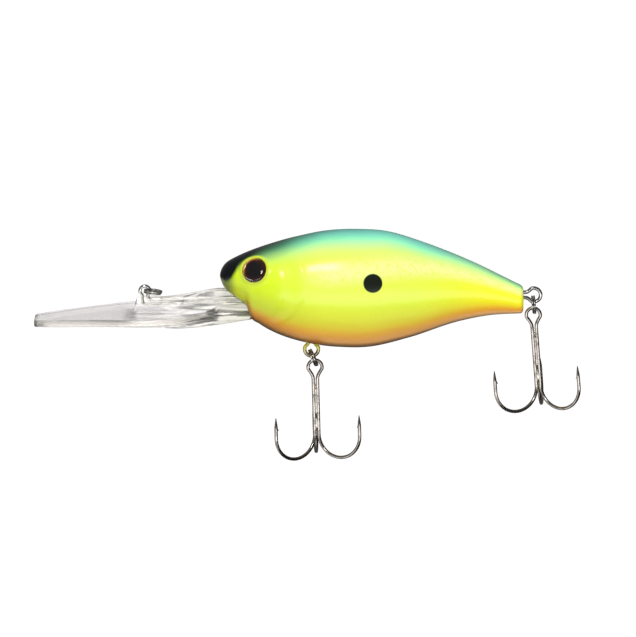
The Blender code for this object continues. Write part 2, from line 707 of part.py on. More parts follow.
def main():
    clear_scene()
    chartreuse = principled("painted_chartreuse", (0.72, 1.0, 0.03), 0.2)
    clear_plastic = principled("clear_plastic", (0.92, 0.94, 0.93), 0.05, transmission=0.9)
    nickel = principled("nickel_plated_wire", (0.75, 0.74, 0.72), 0.2, 1.0)
    iris = principled("printed_iris", (0.1, 0.01, 0.01), 0.3)
    lead = principled("cast_lead", (0.3, 0.31, 0.33), 0.6, 1.0)
    steel = principled("polished_steel", (0.7, 0.7, 0.7), 0.15, 1.0)

    build_lip(clear_plastic)
    build_tie_wire(nickel)
    belly_slots = build_hanger("belly_hanger_wire", BELLY_HANGER, False, nickel)
    tail_slots = build_hanger("tail_hanger_wire", TAIL_HANGER, True, nickel)

    tie_centre = Vector((math.cos(TIE_RING_SLOPE), 0, math.sin(TIE_RING_SLOPE))) * RING_RADIUS
    tie_axis = (-math.sin(TIE_RING_SLOPE), 0, math.cos(TIE_RING_SLOPE))
    build_split_ring("line_tie_split_ring", (0, 0, 0), tie_centre, tie_axis, nickel)
    for prefix, (x, z) in (("belly", BELLY_HANGER), ("tail", TAIL_HANGER)):
        pivot = Vector((x, 0, z - HANGER_LOOP_RADIUS))
        low = RING_ON_HANGER[prefix]
        centre = pivot + Vector((RING_SHIFT[prefix], 0, -low))
        axis = (math.cos(RING_LEAN[prefix]), 0, math.sin(RING_LEAN[prefix]))
        build_split_ring(prefix + "_split_ring", pivot, centre, axis, nickel)
        under_ring = Vector((TREBLE_SHIFT[prefix], 0, -low - RING_RADIUS))
        build_treble(prefix, pivot + under_ring, nickel)

    left_socket = build_eye(-1, "left", iris, clear_plastic)
    right_socket = build_eye(1, "right", iris, clear_plastic)
    shared = (cavity_cutter(), *seat_cutters(), lip_slot(), *belly_slots, *tail_slots)
    left = build_shell("body_shell_left", -1, (*shared, left_socket), chartreuse)
    right = build_shell("body_shell_right", 1, (*shared, right_socket), chartreuse)
    fit_pins(left, right)
    build_weight(lead)
    build_balls(steel)


main()
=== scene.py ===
"""Looks for the deep-diving crankbait lure: paint, clear lip, plated wire, hooks, light and camera.

Lengths are in millimetres until a mesh is made. The frame is the CAD's: origin in the line-tie eye,
+X towards the tail, +Z towards the back, -Y the lure's left side, which faces the camera.
"""

import math

import bmesh
import bpy
import numpy as np
from mathutils import Matrix, Vector


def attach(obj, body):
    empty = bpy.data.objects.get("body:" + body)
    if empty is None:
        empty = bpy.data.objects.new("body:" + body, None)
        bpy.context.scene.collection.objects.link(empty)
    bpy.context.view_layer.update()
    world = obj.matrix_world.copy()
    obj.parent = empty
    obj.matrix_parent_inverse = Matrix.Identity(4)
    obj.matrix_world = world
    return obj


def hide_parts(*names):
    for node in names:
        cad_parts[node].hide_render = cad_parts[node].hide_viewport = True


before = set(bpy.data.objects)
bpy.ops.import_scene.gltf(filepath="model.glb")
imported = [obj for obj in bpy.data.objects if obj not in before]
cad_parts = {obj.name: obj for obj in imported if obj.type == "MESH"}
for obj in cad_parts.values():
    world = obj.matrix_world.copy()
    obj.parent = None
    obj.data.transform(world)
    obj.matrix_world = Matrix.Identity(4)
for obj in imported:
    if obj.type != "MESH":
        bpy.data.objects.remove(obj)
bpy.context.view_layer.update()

MM = 0.001

# Body, as in the CAD: distances along it from the nose, heights from the line-tie eye
NOSE_X = 18.0
BODY_LENGTH = 72.8
BODY_TOP = (
    (0.0, 3.9), (0.3, 5.2), (1.4, 6.8), (4.3, 8.5), (10.0, 10.8), (18.7, 13.3),
    (26.0, 14.7), (33.0, 15.0), (40.0, 14.5), (49.0, 11.8), (60.5, 7.2), (BODY_LENGTH, 1.2),
)
BODY_BOTTOM = (
    (0.0, 3.9), (0.3, 2.6), (1.4, 0.3), (4.5, -2.4), (6.5, -4.3), (7.2, -6.0), (9.5, -7.9), (13.0, -9.9),
    (19.0, -12.0), (29.0, -13.5), (36.0, -13.4), (46.0, -11.0), (57.6, -7.2), (65.0, -5.8),
    (BODY_LENGTH, -5.4),
)
BODY_HALF_WIDTH = (
    (0.0, 0.6), (0.3, 1.9), (1.4, 3.3), (4.3, 5.2), (8.0, 6.9), (14.4, 8.7), (25.0, 9.9),
    (33.0, 10.0), (42.0, 9.2), (52.0, 7.2), (62.0, 4.6), (BODY_LENGTH, 2.3),
)
SECTION_POWER = 2.15
SKIN_STEPS_ALONG, SKIN_STEPS_ROUND = 150, 64
SKIN_START = 0.02  # from the nose
SKIN_STEP_GROWTH = 1.25
SEAM_HALF_GAP = 0.015
SEAM_GROOVE_DEPTH, SEAM_GROOVE_HALF_WIDTH = 0.05, 0.25
TAIL_ROUNDING = 0.8
WALL = 1.2
HOLLOW = (7.0, 69.0)  # from the nose
HOLLOW_STEPS_ALONG, HOLLOW_STEPS_ROUND = 24, 18

# Relief of the head
EYE_FROM_NOSE, EYE_Z = 8.3, 6.1
EYE_RIM_RADIUS, EYE_RIM_HALF_WIDTH, EYE_RIM_HEIGHT = 3.42, 0.42, 0.22
EYE_HOLE_RADIUS, EYE_HOLE_BOTTOM, EYE_HOLE_TOP = 3.06, -1.4, 3.0
GILL_EDGE = ((9.8, 19.2), (5.2, 20.4), (0.6, 20.2), (-4.2, 17.6), (-7.6, 13.4))  # height, from the nose
GILL_STEP, GILL_FADE = 0.24, 3.6
GILL_INNER_EDGE = ((7.4, 14.2), (2.4, 15.4), (-2.4, 14.2), (-5.6, 11.6))
GILL_INNER_STEP = 0.13

# Eye
EYE_RADIUS = 2.95
EYE_FLOOR = -1.05
IRIS_THICKNESS = 0.4
LENS_FOOT = -0.55
LENS_EDGE = 0.35
LENS_RISE = 0.75
EYE_RING_RADIUS = 3.75
EYE_SIDES = 72
LIT_SIDE_OF_IRIS = (-0.8, 0, 0.6)  # the way the iris's painted amber highlight faces

# Spot on each flank
SPOT_FROM_NOSE, SPOT_Z, SPOT_RADIUS = 36.6, 3.4, 2.28

# Lip
LIP_TIP_X, LIP_TONGUE_X = -26.5, 31.0
LIP_THICKNESS = 1.65
LIP_HALF_WIDTH = (
    (LIP_TIP_X, 3.6), (-26.2, 4.7), (-25.2, 5.6), (-22.3, 7.3), (-16.5, 9.6), (-9.0, 12.4),
    (-3.0, 14.6), (2.0, 15.1), (7.0, 13.6), (11.5, 10.0), (15.5, 6.6), (20.0, 5.1), (25.0, 4.4),
    (LIP_TONGUE_X, 3.6),
)
LIP_PLATE_TOP = ((LIP_TIP_X, -6.35), (-5.0, -4.9), (2.0, -4.65), (12.0, -4.5), (LIP_TONGUE_X, -4.5))
LIP_RAMP_TOP = (
    (LIP_TIP_X, -6.35), (-3.0, -4.8), (-2.4, -3.2), (-2.0, -1.75), (-1.0, -1.45), (5.0, -1.3),
    (10.8, -0.5), (18.5, 0.6), (22.0, 0.3), (LIP_TONGUE_X, -0.4),
)
LIP_ROOT_BOTTOM = (
    (LIP_TIP_X, -8.0), (-5.0, -6.55), (0.0, -7.3), (6.0, -8.5), (12.0, -8.6), (18.0, -8.0),
    (24.5, -6.9), (LIP_TONGUE_X, -5.6),
)
RAMP_HALF_WIDTH = (
    (LIP_TIP_X, 2.0), (-2.0, 1.7), (5.0, 2.3), (14.0, 3.8), (20.0, 4.6), (LIP_TONGUE_X, 3.3),
)
ROOT_WIDTH_SHARE = 0.62
LIP_EDGE_RADIUS = 0.5

# Wire forms
TIE_WIRE = 0.8
TIE_EYE_RADIUS = 1.2
TIE_UPPER_LEG_Z, TIE_LOWER_LEG_Z = -2.35, -3.5
TIE_ANCHOR_X, TIE_ANCHOR_RADIUS = 34.2, 1.25
WIRE_SIDES = 20
HANGER_WIRE = 0.9
HANGER_LOOP_RADIUS = 1.65
HANGER_LEG_OFFSET, HANGER_LEG_TOP, HANGER_FOOT = 0.62, 6.95, 1.9
BELLY_HANGER = (39.96, -14.15)
TAIL_HANGER = (93.3, -0.95)

# Split rings
RING_RADIUS = 1.95
RING_WIRE_RADIAL, RING_WIRE_AXIAL = 0.6, 0.44
RING_TURN_GAP = 0.06
RING_SECTION_SIDES, RING_SECTION_POWER = 20, 0.55
RING_STEPS_PER_TURN = 72
RING_TURN_ANGLE = math.radians(678)
RING_JOG_START, RING_JOG_END = math.radians(322), math.radians(354)
RING_ON_HANGER = {"belly": 0.45, "tail": 0.75}  # from the loop's foot down to the ring's middle
TIE_RING_SLOPE = math.radians(-6)
RING_LEAN = {"belly": math.radians(24), "tail": math.radians(5)}
RING_SHIFT = {"belly": 0.42, "tail": 0.0}

# Treble hooks
HOOK_WIRE = 0.84
HOOK_EYE_RADIUS, HOOK_EYE_FOOT = 1.68, -16
HOOK_EYE_UNDER_RING = {"belly": 0.3, "tail": 0.5}
NECK_SPREAD = 0.36
NECK_TOP, NECK_DEPTH, SHANK_START = 1.7, 2.7, 4.6
SHANK_OFFSET, SINGLE_SHANK_OFFSET, SINGLE_SHANK_TOP = 0.5, 1.0, 4.4
BEND_RADIUS = 5.5
BEND_DEPTH = {"belly": 16.3, "tail": 17.25}
TREBLE_SHIFT = {"belly": 0.84, "tail": -0.13}
TREBLE_TURN = {"belly": math.radians(3), "tail": math.radians(-5)}
TREBLE_TILT = {"belly": math.radians(-1.5), "tail": math.radians(-4.5)}
SPEAR_LENGTH, SPEAR_LEAN = 5.2, 0.05
POINT_LENGTH, POINT_RADIUS = 2.4, 0.05
BARB_BELOW_TIP, BARB_LENGTH, BARB_STAND, BARB_HALF_WIDTH = 3.3, 1.1, 0.5, 0.17
DOUBLE_HOOK_ANGLE = math.radians(30)
FILLET_LENGTH = 4.2
BRAZE_STEPS, BRAZE_SIDES = 32, 24

# Camera and light
CAMERA_ELEVATION = math.radians(9.5)
CAMERA_DISTANCE = 1.5
FRAME_WIDTH = 0.1526
SENSOR_WIDTH = 36.0
AIM_X, AIM_UP = 0.04152, -0.0066
FLOOR_Z, FLOOR_RADIUS = -0.45, 9.0
# Softboxes: name, azimuth, elevation, distance, (width, height), brightness, mirrored in gloss
LIGHTS = (
    ("front_softbox", 7, 9, 1.0, (0.9, 0.95), 2.05, False),
    ("key_softbox", -10, 28, 1.0, (0.2, 0.2), 12.5, True),
    ("low_softbox", 8, -14, 1.0, (1.4, 0.24), 2.1, True),
    ("back_softbox", 180, 16, 1.2, (1.4, 0.9), 2.0, False),
    ("top_softbox", 0, 80, 1.2, (1.0, 0.8), 5.0, False),
    ("floor_bounce", 60, -62, 0.8, (1.2, 0.8), 1.5, False),
)
# World: each a smooth step from one value to another, between two heights or two degrees of facing
# a direction (azimuth, elevation)
SKY_HEIGHTS, SKY_VALUES = (-0.4, 0.3), (0.1, 0.14)
GLOW_DIRECTION, GLOW_EDGES, GLOW_VALUES = (-62, -34), (0.78, 0.96), (0.0, 0.85)
SHADE_DIRECTION, SHADE_EDGES, SHADE_VALUES = (60, -12), (0.1, 0.85), (1.0, 0.12)


# ---- Curves ----
def curve_through(knots):
    """A smooth function through (position, value) knots, by cubic Hermite spans."""
    places, values = (np.array(column, float) for column in zip(*knots))
    slopes = np.gradient(values, places)

    def value_at(place):
        place = min(max(place, places[0]), places[-1])
        i = min(int(np.searchsorted(places, place, side="right")) - 1, len(places) - 2)
        span = places[i + 1] - places[i]
        t = (place - places[i]) / span
        start = (1 + 2 * t) * (1 - t) ** 2 * values[i] + t * (1 - t) ** 2 * span * slopes[i]
        end = t * t * (3 - 2 * t) * values[i + 1] + t * t * (t - 1) * span * slopes[i + 1]
        return float(start + end)

    return value_at


def round_nosed(knots):
    """The same, over the square root of the distance, which gives the curve a round front end."""
    value_at = curve_through([(math.sqrt(place), value) for place, value in knots])
    return lambda place: value_at(math.sqrt(max(place, 0.0)))


body_top = round_nosed(BODY_TOP)
body_bottom = round_nosed(BODY_BOTTOM)
body_half_width = round_nosed(BODY_HALF_WIDTH)
lip_half_width = curve_through(LIP_HALF_WIDTH)
lip_plate_top = curve_through(LIP_PLATE_TOP)
lip_ramp_top = curve_through(LIP_RAMP_TOP)
lip_root_bottom = curve_through(LIP_ROOT_BOTTOM)
ramp_half_width = curve_through(RAMP_HALF_WIDTH)


def smooth_step(value, low, high):
    t = min(max((value - low) / (high - low), 0.0), 1.0)
    return t * t * (3 - 2 * t)


def signed_power(value, power):
    return math.copysign(abs(value) ** power, value)


def body_point(along, angle, inset=0.0):
    """A point of the body's skin: angle 90 is the back, 0 the right flank and 180 the left flank."""
    middle = (body_top(along) + body_bottom(along)) / 2
    height = max((body_top(along) - body_bottom(along)) / 2 - inset, 0.05)
    width = max(body_half_width(along) - inset, 0.05)
    power = 2 / SECTION_POWER
    y = width * signed_power(math.cos(angle), power)
    z = middle + height * signed_power(math.sin(angle), power)
    return Vector((NOSE_X + along, y, z))


def flank_point(along, z, side):
    middle = (body_top(along) + body_bottom(along)) / 2
    height = (body_top(along) - body_bottom(along)) / 2
    share = min(abs((z - middle) / height), 1.0)
    y = body_half_width(along) * (1 - share**SECTION_POWER) ** (1 / SECTION_POWER)
    return Vector((NOSE_X + along, side * y, z))


def flank_frame(along, z, side):
    """A matrix at a point of the skin, in millimetres, whose Z axis is the outward normal."""
    step = 0.4
    along_skin = flank_point(along + step, z, side) - flank_point(along - step, z, side)
    up_skin = flank_point(along, z + step, side) - flank_point(along, z - step, side)
    normal = along_skin.cross(up_skin).normalized() * -side
    across = Vector((0, 0, 1)).cross(normal).normalized()
    rotation = Matrix((across, normal.cross(across), normal)).transposed().to_4x4()
    return Matrix.Translation(flank_point(along, z, side)) @ rotation


def arc(centre, radius, start, end, steps):
    """Points in the XZ plane on an arc, angles in degrees from +X towards +Z."""
    angles = [math.radians(start + (end - start) * i / steps) for i in range(steps + 1)]
    x, z = centre
    return [Vector((x + radius * math.cos(a), 0, z + radius * math.sin(a))) for a in angles]


def smoothed(points, per_span):
    """Points on a Catmull-Rom curve through these points."""
    ends = [2 * points[0] - points[1], *points, 2 * points[-1] - points[-2]]
    path = []
    for a, b, c, d in zip(ends, ends[1:], ends[2:], ends[3:]):
        for step in range(per_span):
            t = step / per_span
            path.append(
                0.5 * (2 * b + (c - a) * t + (2 * a - 5 * b + 4 * c - d) * t * t)
                + 0.5 * (3 * b - a - 3 * c + d) * t**3
            )
    return [*path, points[-1]]


# ---- Meshes ----
def mesh_from_rings(name, rings):
    """A closed loft through rings of points in millimetres."""
    bm = bmesh.new()
    rows = [[bm.verts.new(Vector(point) * MM) for point in ring] for ring in rings]
    count = len(rings[0])
    for near, far in zip(rows, rows[1:]):
        for i in range(count):
            j = (i + 1) % count
            bm.faces.new((near[i], near[j], far[j], far[i]))
    for row in (rows[0], rows[-1]):
        centre = bm.verts.new(sum((vert.co for vert in row), Vector()) / count)
        for i in range(count):
            bm.faces.new((row[i], row[(i + 1) % count], centre))
    bmesh.ops.recalc_face_normals(bm, faces=bm.faces)
    mesh = bpy.data.meshes.new(name)
    bm.to_mesh(mesh)
    bm.free()
    return mesh


def new_object(name, data):
    made = bpy.data.objects.new(name, data)
    bpy.context.scene.collection.objects.link(made)
    return made


def add_piece(name, mesh, material, body, replaces, sharp=35):
    """A shown piece that rides on a body and stands for CAD nodes; sharp is an angle in degrees."""
    mesh.materials.clear()
    mesh.materials.append(material)
    mesh.shade_smooth()
    mesh.set_sharp_from_angle(angle=math.radians(sharp))
    piece = new_object(name, mesh)
    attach(piece, body)
    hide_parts(*replaces)


def write_values(mesh, name, values):
    """A number for each vertex, which a material reads by name."""
    attribute = mesh.attributes.new(name, "FLOAT", "POINT")
    attribute.data.foreach_set("value", np.array(values, np.float32))


def turned_mesh(name, profile):
    """A solid turned about Z from (radius, height) pairs that start and end off the axis."""
    angles = [2 * math.pi * i / EYE_SIDES for i in range(EYE_SIDES)]
    return mesh_from_rings(
        name, [[(r * math.cos(a), r * math.sin(a), z) for a in angles] for r, z in profile]
    )


def path_frames(path, first_normal):
    """A normal and binormal at each point of a path, turned as little as possible."""
    frames = []
    normal = Vector(first_normal)
    for i in range(len(path)):
        tangent = (path[min(i + 1, len(path) - 1)] - path[max(i - 1, 0)]).normalized()
        normal = (normal - tangent * normal.dot(tangent)).normalized()
        frames.append((normal, tangent.cross(normal)))
    return frames


def wire_mesh(name, path, radii, first_normal=(0, 1, 0)):
    """A round wire along a path; radii is one radius or one for each point."""
    if not isinstance(radii, list):
        radii = [radii] * len(path)
    angles = [2 * math.pi * i / WIRE_SIDES for i in range(WIRE_SIDES)]
    turns = [(math.cos(a), math.sin(a)) for a in angles]
    rings = []
    for point, radius, (normal, binormal) in zip(path, radii, path_frames(path, first_normal)):
        rings.append([point + radius * (c * normal + s * binormal) for c, s in turns])
    return mesh_from_rings(name, rings)


def joined(name, meshes):
    """One mesh that holds several."""
    bm = bmesh.new()
    for mesh in meshes:
        bm.from_mesh(mesh)
        bpy.data.meshes.remove(mesh)
    mesh = bpy.data.meshes.new(name)
    bm.to_mesh(mesh)
    bm.free()
    return mesh


def in_metres(matrix):
    """The same placement with its move, given in millimetres, in metres."""
    scaled = matrix.copy()
    scaled.translation *= MM
    return scaled


def cut(mesh, tools):
    """The mesh less the closed tool meshes, by exact Booleans."""
    target = new_object("target", mesh)
    helpers = []
    for i, tool in enumerate(tools):
        helper = new_object(f"tool_{i}", tool)
        modifier = target.modifiers.new(helper.name, "BOOLEAN")
        modifier.operation = "DIFFERENCE"
        modifier.object = helper
        helpers.append(helper)
    graph = bpy.context.evaluated_depsgraph_get()
    result = bpy.data.meshes.new_from_object(target.evaluated_get(graph), depsgraph=graph)
    for helper in (target, *helpers):
        data = helper.data
        bpy.data.objects.remove(helper)
        bpy.data.meshes.remove(data)
    return result


# ---- Node materials ----
MIX_A, MIX_B, MIX_RESULT = 6, 7, 2  # the colour sockets of a Mix node


class Shader:
    """A node material under construction, around one Principled shader."""

    def __init__(self, name):
        self.material = bpy.data.materials.new(name)
        self.material.use_nodes = True
        self.tree = self.material.node_tree
        self.principled = self.tree.nodes["Principled BSDF"]

    def node(self, kind, **settings):
        made = self.tree.nodes.new(kind)
        for key, value in settings.items():
            setattr(made, key, value)
        return made

    def link(self, source, target):
        self.tree.links.new(source, target)

    def set(self, **values):
        """Puts numbers or colours on the shader's sockets; a name's underscores stand for spaces."""
        for key, value in values.items():
            if isinstance(value, (tuple, list)) and len(value) == 3:
                value = (*value, 1.0)
            self.principled.inputs[key.replace("_", " ")].default_value = value

    def feed(self, socket, source):
        self.link(source, self.principled.inputs[socket])

    def value(self, source, target):
        """Links a socket, or sets a number, on a node's input."""
        if isinstance(source, bpy.types.NodeSocket):
            self.link(source, target)
        else:
            target.default_value = source

    def math(self, operation, first, second=0.0, clamp=False):
        made = self.node("ShaderNodeMath", operation=operation, use_clamp=clamp)
        self.value(first, made.inputs[0])
        self.value(second, made.inputs[1])
        return made.outputs[0]

    def step(self, source, low, high, start=0.0, end=1.0):
        """A smooth step from start to end as the source goes from low to high."""
        made = self.node("ShaderNodeMapRange", interpolation_type="SMOOTHSTEP")
        self.value(source, made.inputs["Value"])
        for key, number in (("From Min", low), ("From Max", high), ("To Min", start), ("To Max", end)):
            self.value(number, made.inputs[key])
        return made.outputs[0]

    def attribute(self, name):
        return self.node("ShaderNodeAttribute", attribute_name=name).outputs["Fac"]

    def position(self):
        """The place in the piece's own frame, in metres."""
        return self.node("ShaderNodeTexCoord").outputs["Object"]

    def split(self, vector):
        """The x, y and z of a vector."""
        parts = self.node("ShaderNodeSeparateXYZ")
        self.link(vector, parts.inputs[0])
        return parts.outputs

    def noise(self, coordinates, scale, detail=3.0, roughness=0.5):
        made = self.node("ShaderNodeTexNoise")
        self.link(coordinates, made.inputs["Vector"])
        made.inputs["Scale"].default_value = scale
        made.inputs["Detail"].default_value = detail
        made.inputs["Roughness"].default_value = roughness
        return made.outputs["Fac"]

    def ramp(self, source, stops):
        made = self.node("ShaderNodeValToRGB")
        self.link(source, made.inputs[0])
        elements = made.color_ramp.elements
        while len(elements) < len(stops):
            elements.new(0.5)
        for element, (place, colour) in zip(elements, stops):
            element.position = place
            element.color = (*linear(colour), 1.0)
        return made.outputs["Color"]

    def curve(self, source, points):
        """A number that follows a smooth curve through (input, output) points, both from 0 to 1."""
        made = self.node("ShaderNodeFloatCurve")
        self.link(source, made.inputs["Value"])
        line = made.mapping.curves[0]
        while len(line.points) < len(points):
            line.points.new(0.5, 0.5)
        for point, (x, y) in zip(line.points, points):
            point.location = (x, y)
        made.mapping.update()
        return made.outputs["Value"]

    def mix(self, factor, first, second, blend="MIX"):
        made = self.node("ShaderNodeMix", data_type="RGBA", blend_type=blend)
        self.value(factor, made.inputs["Factor"])
        for source, target in ((first, made.inputs[MIX_A]), (second, made.inputs[MIX_B])):
            if isinstance(source, bpy.types.NodeSocket):
                self.link(source, target)
            else:
                target.default_value = (*linear(source), 1.0)
        return made.outputs[MIX_RESULT]

    def bump(self, height, distance, strength=1.0):
        made = self.node("ShaderNodeBump")
        self.link(height, made.inputs["Height"])
        made.inputs["Distance"].default_value = distance
        made.inputs["Strength"].default_value = strength
        return made.outputs["Normal"]


def linear(colour):
    """Linear light from a colour written as six hexadecimal digits or as three screen values."""
    if isinstance(colour, str):
        colour = [int(colour[i : i + 2], 16) / 255 for i in (0, 2, 4)]
    return tuple(c / 12.92 if c <= 0.04045 else ((c + 0.055) / 1.055) ** 2.4 for c in colour)


# Paint down the flank, from the belly (0) to the back (1) of each section. Their brown belly ends are
# painted shade over orange paint
HEAD_PAINT = (
    (0.0, "7a4a1c"), (0.05, "a8702e"), (0.09, "d08a3c"), (0.14, "e09a38"), (0.19, "dcae28"),
    (0.25, "ced020"), (0.35, "cbdf1e"), (0.5, "d8f020"), (0.65, "dcf624"), (0.8, "d2f03c"),
    (0.9, "a8d870"), (1.0, "6fb890"),
)
MIDDLE_PAINT = (
    (0.0, "84552a"), (0.03, "a87638"), (0.065, "f0b068"), (0.115, "eeac4c"), (0.155, "ecb83c"),
    (0.2, "e6d036"), (0.28, "e2e640"), (0.45, "e4fb44"), (0.6, "e8fd48"), (0.78, "e2fe50"),
    (0.86, "d2fd70"), (0.91, "b4fb98"), (0.95, "94f6c2"), (1.0, "8ceee4"),
)
TAIL_PAINT = (
    (0.0, "c09058"), (0.05, "dcae74"), (0.1, "f6b870"), (0.14, "f2a83c"), (0.19, "f4ae1c"),
    (0.26, "f6d014"), (0.35, "f8ee12"), (0.55, "f8fb20"), (0.74, "f4fc48"), (0.84, "def870"),
    (0.92, "c4f898"), (1.0, "b0f4c0"),
)
# Lower edge of the black back, and middle of the painted highlight band: share of the length, share of
# the height
BLACK_EDGE = (
    (0.0, 0.36), (0.02, 0.42), (0.035, 0.54), (0.05, 0.72), (0.07, 0.86), (0.12, 0.93), (0.2, 0.965),
    (0.27, 1.0), (1.0, 1.0),
)
PAINTED_HIGHLIGHT_BAND = ((0.0, 0.68), (0.41, 0.68), (0.72, 0.77), (1.0, 0.77))
PAINTED_HIGHLIGHT_HALF_WIDTH, PAINTED_HIGHLIGHT_STRENGTH = 0.16, 0.42
HANGER_PATCH_RADIUS, HANGER_PATCH_SOFT = 1.6, 1.9
EYE_RING_SOFT, SPOT_SOFT = 0.45, 0.14


def body_paint():
    """Airbrushed bands that follow the section's height, under a clear gloss coat, with a painted
    highlight band along the upper flank and painted shade at the belly.
    """
    paint = Shader("airbrushed_body_paint")
    coordinates = paint.position()
    height = paint.attribute("paint_height")
    along = paint.attribute("paint_along")
    drift = paint.noise(coordinates, 90.0, 2.0)
    drift = paint.math("MULTIPLY", paint.math("SUBTRACT", drift, 0.5), 0.03)
    mottle = paint.noise(coordinates, 1400.0, 2.0)
    level = paint.math("ADD", height, drift, clamp=True)
    level = paint.math("MAXIMUM", level, paint.step(along, 0.098, 0.082, 0.0, 0.3))

    head = paint.ramp(level, HEAD_PAINT)
    middle = paint.ramp(level, MIDDLE_PAINT)
    tail = paint.ramp(level, TAIL_PAINT)
    colour = paint.mix(paint.step(along, 0.12, 0.34), head, middle)
    colour = paint.mix(paint.step(along, 0.62, 0.93), colour, tail)

    # Painted highlight: a pale, mottled band along the upper flank, where the lamps shine on the gloss.
    painted_highlight = paint.math("SUBTRACT", height, paint.curve(along, PAINTED_HIGHLIGHT_BAND))
    painted_highlight = paint.step(paint.math("ABSOLUTE", painted_highlight), PAINTED_HIGHLIGHT_HALF_WIDTH, 0.0)
    reach = paint.math("MULTIPLY", paint.step(along, 0.24, 0.38), paint.step(mottle, 0.1, 0.6))
    strength = paint.math("MULTIPLY", paint.math("MULTIPLY", painted_highlight, reach), PAINTED_HIGHLIGHT_STRENGTH)
    colour = paint.mix(strength, colour, "fcfdd0")

    colour = paint.mix(paint.step(along, 0.06, 0.025, 0.0, 0.75), colour, "59643a")
    over_edge = paint.math("SUBTRACT", level, paint.curve(along, BLACK_EDGE))
    shade = paint.step(over_edge, -0.14, 0.03)
    green = paint.mix(paint.step(along, 0.05, 0.2), "4a6a10", "2f7a58")
    colour = paint.mix(paint.math("MULTIPLY", shade, 0.75), colour, green)
    black = paint.mix(paint.step(along, 0.08, 0.26), "03070c", "17302a")
    colour = paint.mix(paint.step(over_edge, -0.05, 0.07), colour, black)

    for side in (-1, 1):
        # A darker orange patch on each flank beside the belly hanger's root.
        hanger_patch = Vector((BELLY_HANGER[0] + 1.0, side * 4.0, BELLY_HANGER[1] + 2.8))
        eye, spot = flank_point(EYE_FROM_NOSE, EYE_Z, side), flank_point(SPOT_FROM_NOSE, SPOT_Z, side)
        for centre, radius, soft, tone in (
            (hanger_patch, HANGER_PATCH_RADIUS, HANGER_PATCH_SOFT, "cc7a14"),
            (eye, EYE_RING_RADIUS, EYE_RING_SOFT, "c8dc3c"),
            (spot, SPOT_RADIUS, SPOT_SOFT, "0d1608"),
        ):
            distance = paint.node("ShaderNodeVectorMath", operation="DISTANCE")
            paint.link(coordinates, distance.inputs[0])
            distance.inputs[1].default_value = centre * MM
            inside = paint.step(distance.outputs["Value"], (radius + soft) * MM, (radius - soft) * MM)
            colour = paint.mix(inside, colour, tone)

    speckle = paint.math("MULTIPLY", paint.math("SUBTRACT", mottle, 0.5), 0.06)
    bright = paint.math("ADD", 1.0, speckle)
    hue = paint.node("ShaderNodeHueSaturation")
    paint.link(bright, hue.inputs["Value"])
    paint.link(colour, hue.inputs["Color"])
    paint.feed("Base Color", hue.outputs["Color"])

    peel = paint.noise(coordinates, 420.0, 1.0)
    paint.feed("Normal", paint.bump(peel, 0.00002, 0.25))
    paint.feed("Roughness", paint.step(mottle, 0.3, 0.7, 0.3, 0.4))
    paint.set(Coat_Weight=1.0, Coat_Roughness=0.17, Coat_IOR=1.45, Specular_IOR_Level=0.2)
    return paint.material


def clear_plastic():
    """Moulded polycarbonate, with painted reflections in the rims, painted shade under the root, and
    soft flow marks.
    """
    plastic = Shader("clear_polycarbonate")
    coordinates = plastic.position()
    x, y = plastic.split(coordinates)[:2]
    rim = plastic.attribute("rim")
    # Painted reflection: the rims are khaki-grey on the near side (-Y) and mauve-grey on the far side.
    tint = plastic.mix(plastic.step(y, -0.004, 0.004), "cfcdbc", "cdc5cb")
    middle = plastic.mix(plastic.step(x, -0.004, 0.002), "f6f3f2", "e2e0de")
    colour = plastic.mix(rim, middle, tint)
    colour = plastic.mix(plastic.step(x, 0.012, 0.023), colour, "b9b8ab")
    # Painted shade: darker grey on the underside of the root.
    colour = plastic.mix(plastic.attribute("under"), colour, "a3a298")
    swirl = plastic.math("SUBTRACT", plastic.noise(coordinates, 170.0, 1.0), 0.5)
    line = plastic.step(plastic.math("ABSOLUTE", swirl), 0.05, 0.0, 0.0, 0.65)
    reach = plastic.math("MULTIPLY", plastic.step(x, 0.0, 0.006), plastic.step(x, 0.027, 0.018))
    colour = plastic.mix(plastic.math("MULTIPLY", line, reach), colour, "aca9a2")
    plastic.feed("Base Color", colour)
    flow = plastic.noise(coordinates, 260.0, 2.0)
    plastic.feed("Normal", plastic.bump(flow, 0.00006, 0.2))
    plastic.set(Transmission_Weight=1.0, Roughness=0.22, IOR=1.5)
    return plastic.material


def lens_resin():
    """Clear resin with a barely waved surface."""
    resin = Shader("clear_lens_resin")
    ripple = resin.noise(resin.position(), 300.0, 1.0)
    resin.feed("Normal", resin.bump(ripple, 0.00001, 0.1))
    resin.set(Base_Color=(1.0, 1.0, 1.0), Transmission_Weight=1.0, Roughness=0.01, IOR=1.55)
    return resin.material


IRIS_RINGS = (
    (0.0, "010101"), (0.52, "030101"), (0.64, "200501"), (0.78, "3c0a03"), (0.9, "340a04"),
    (1.0, "200502"),
)


def iris_print(side):
    """Rings of dark red round a black pupil, with a painted amber highlight on the rim towards the brow.
    """
    iris = Shader("printed_iris_" + ("left" if side < 0 else "right"))
    radius = iris.attribute("iris_radius")
    lit_side = iris.attribute("iris_lit_side")
    colour = iris.ramp(radius, IRIS_RINGS)
    streak = iris.noise(iris.position(), 2600.0, 2.0)
    colour = iris.mix(iris.math("MULTIPLY", streak, 0.2), colour, "1a0610")
    # Painted highlight: an amber crescent on the iris's rim on the side towards the brow.
    iris_highlight = iris.math("MULTIPLY", iris.step(radius, 0.78, 0.92), iris.step(lit_side, 0.45, 0.98))
    colour = iris.mix(iris_highlight, colour, "f09a28")
    iris.feed("Base Color", colour)
    iris.set(Roughness=0.5, Specular_IOR_Level=0.05)
    return iris.material


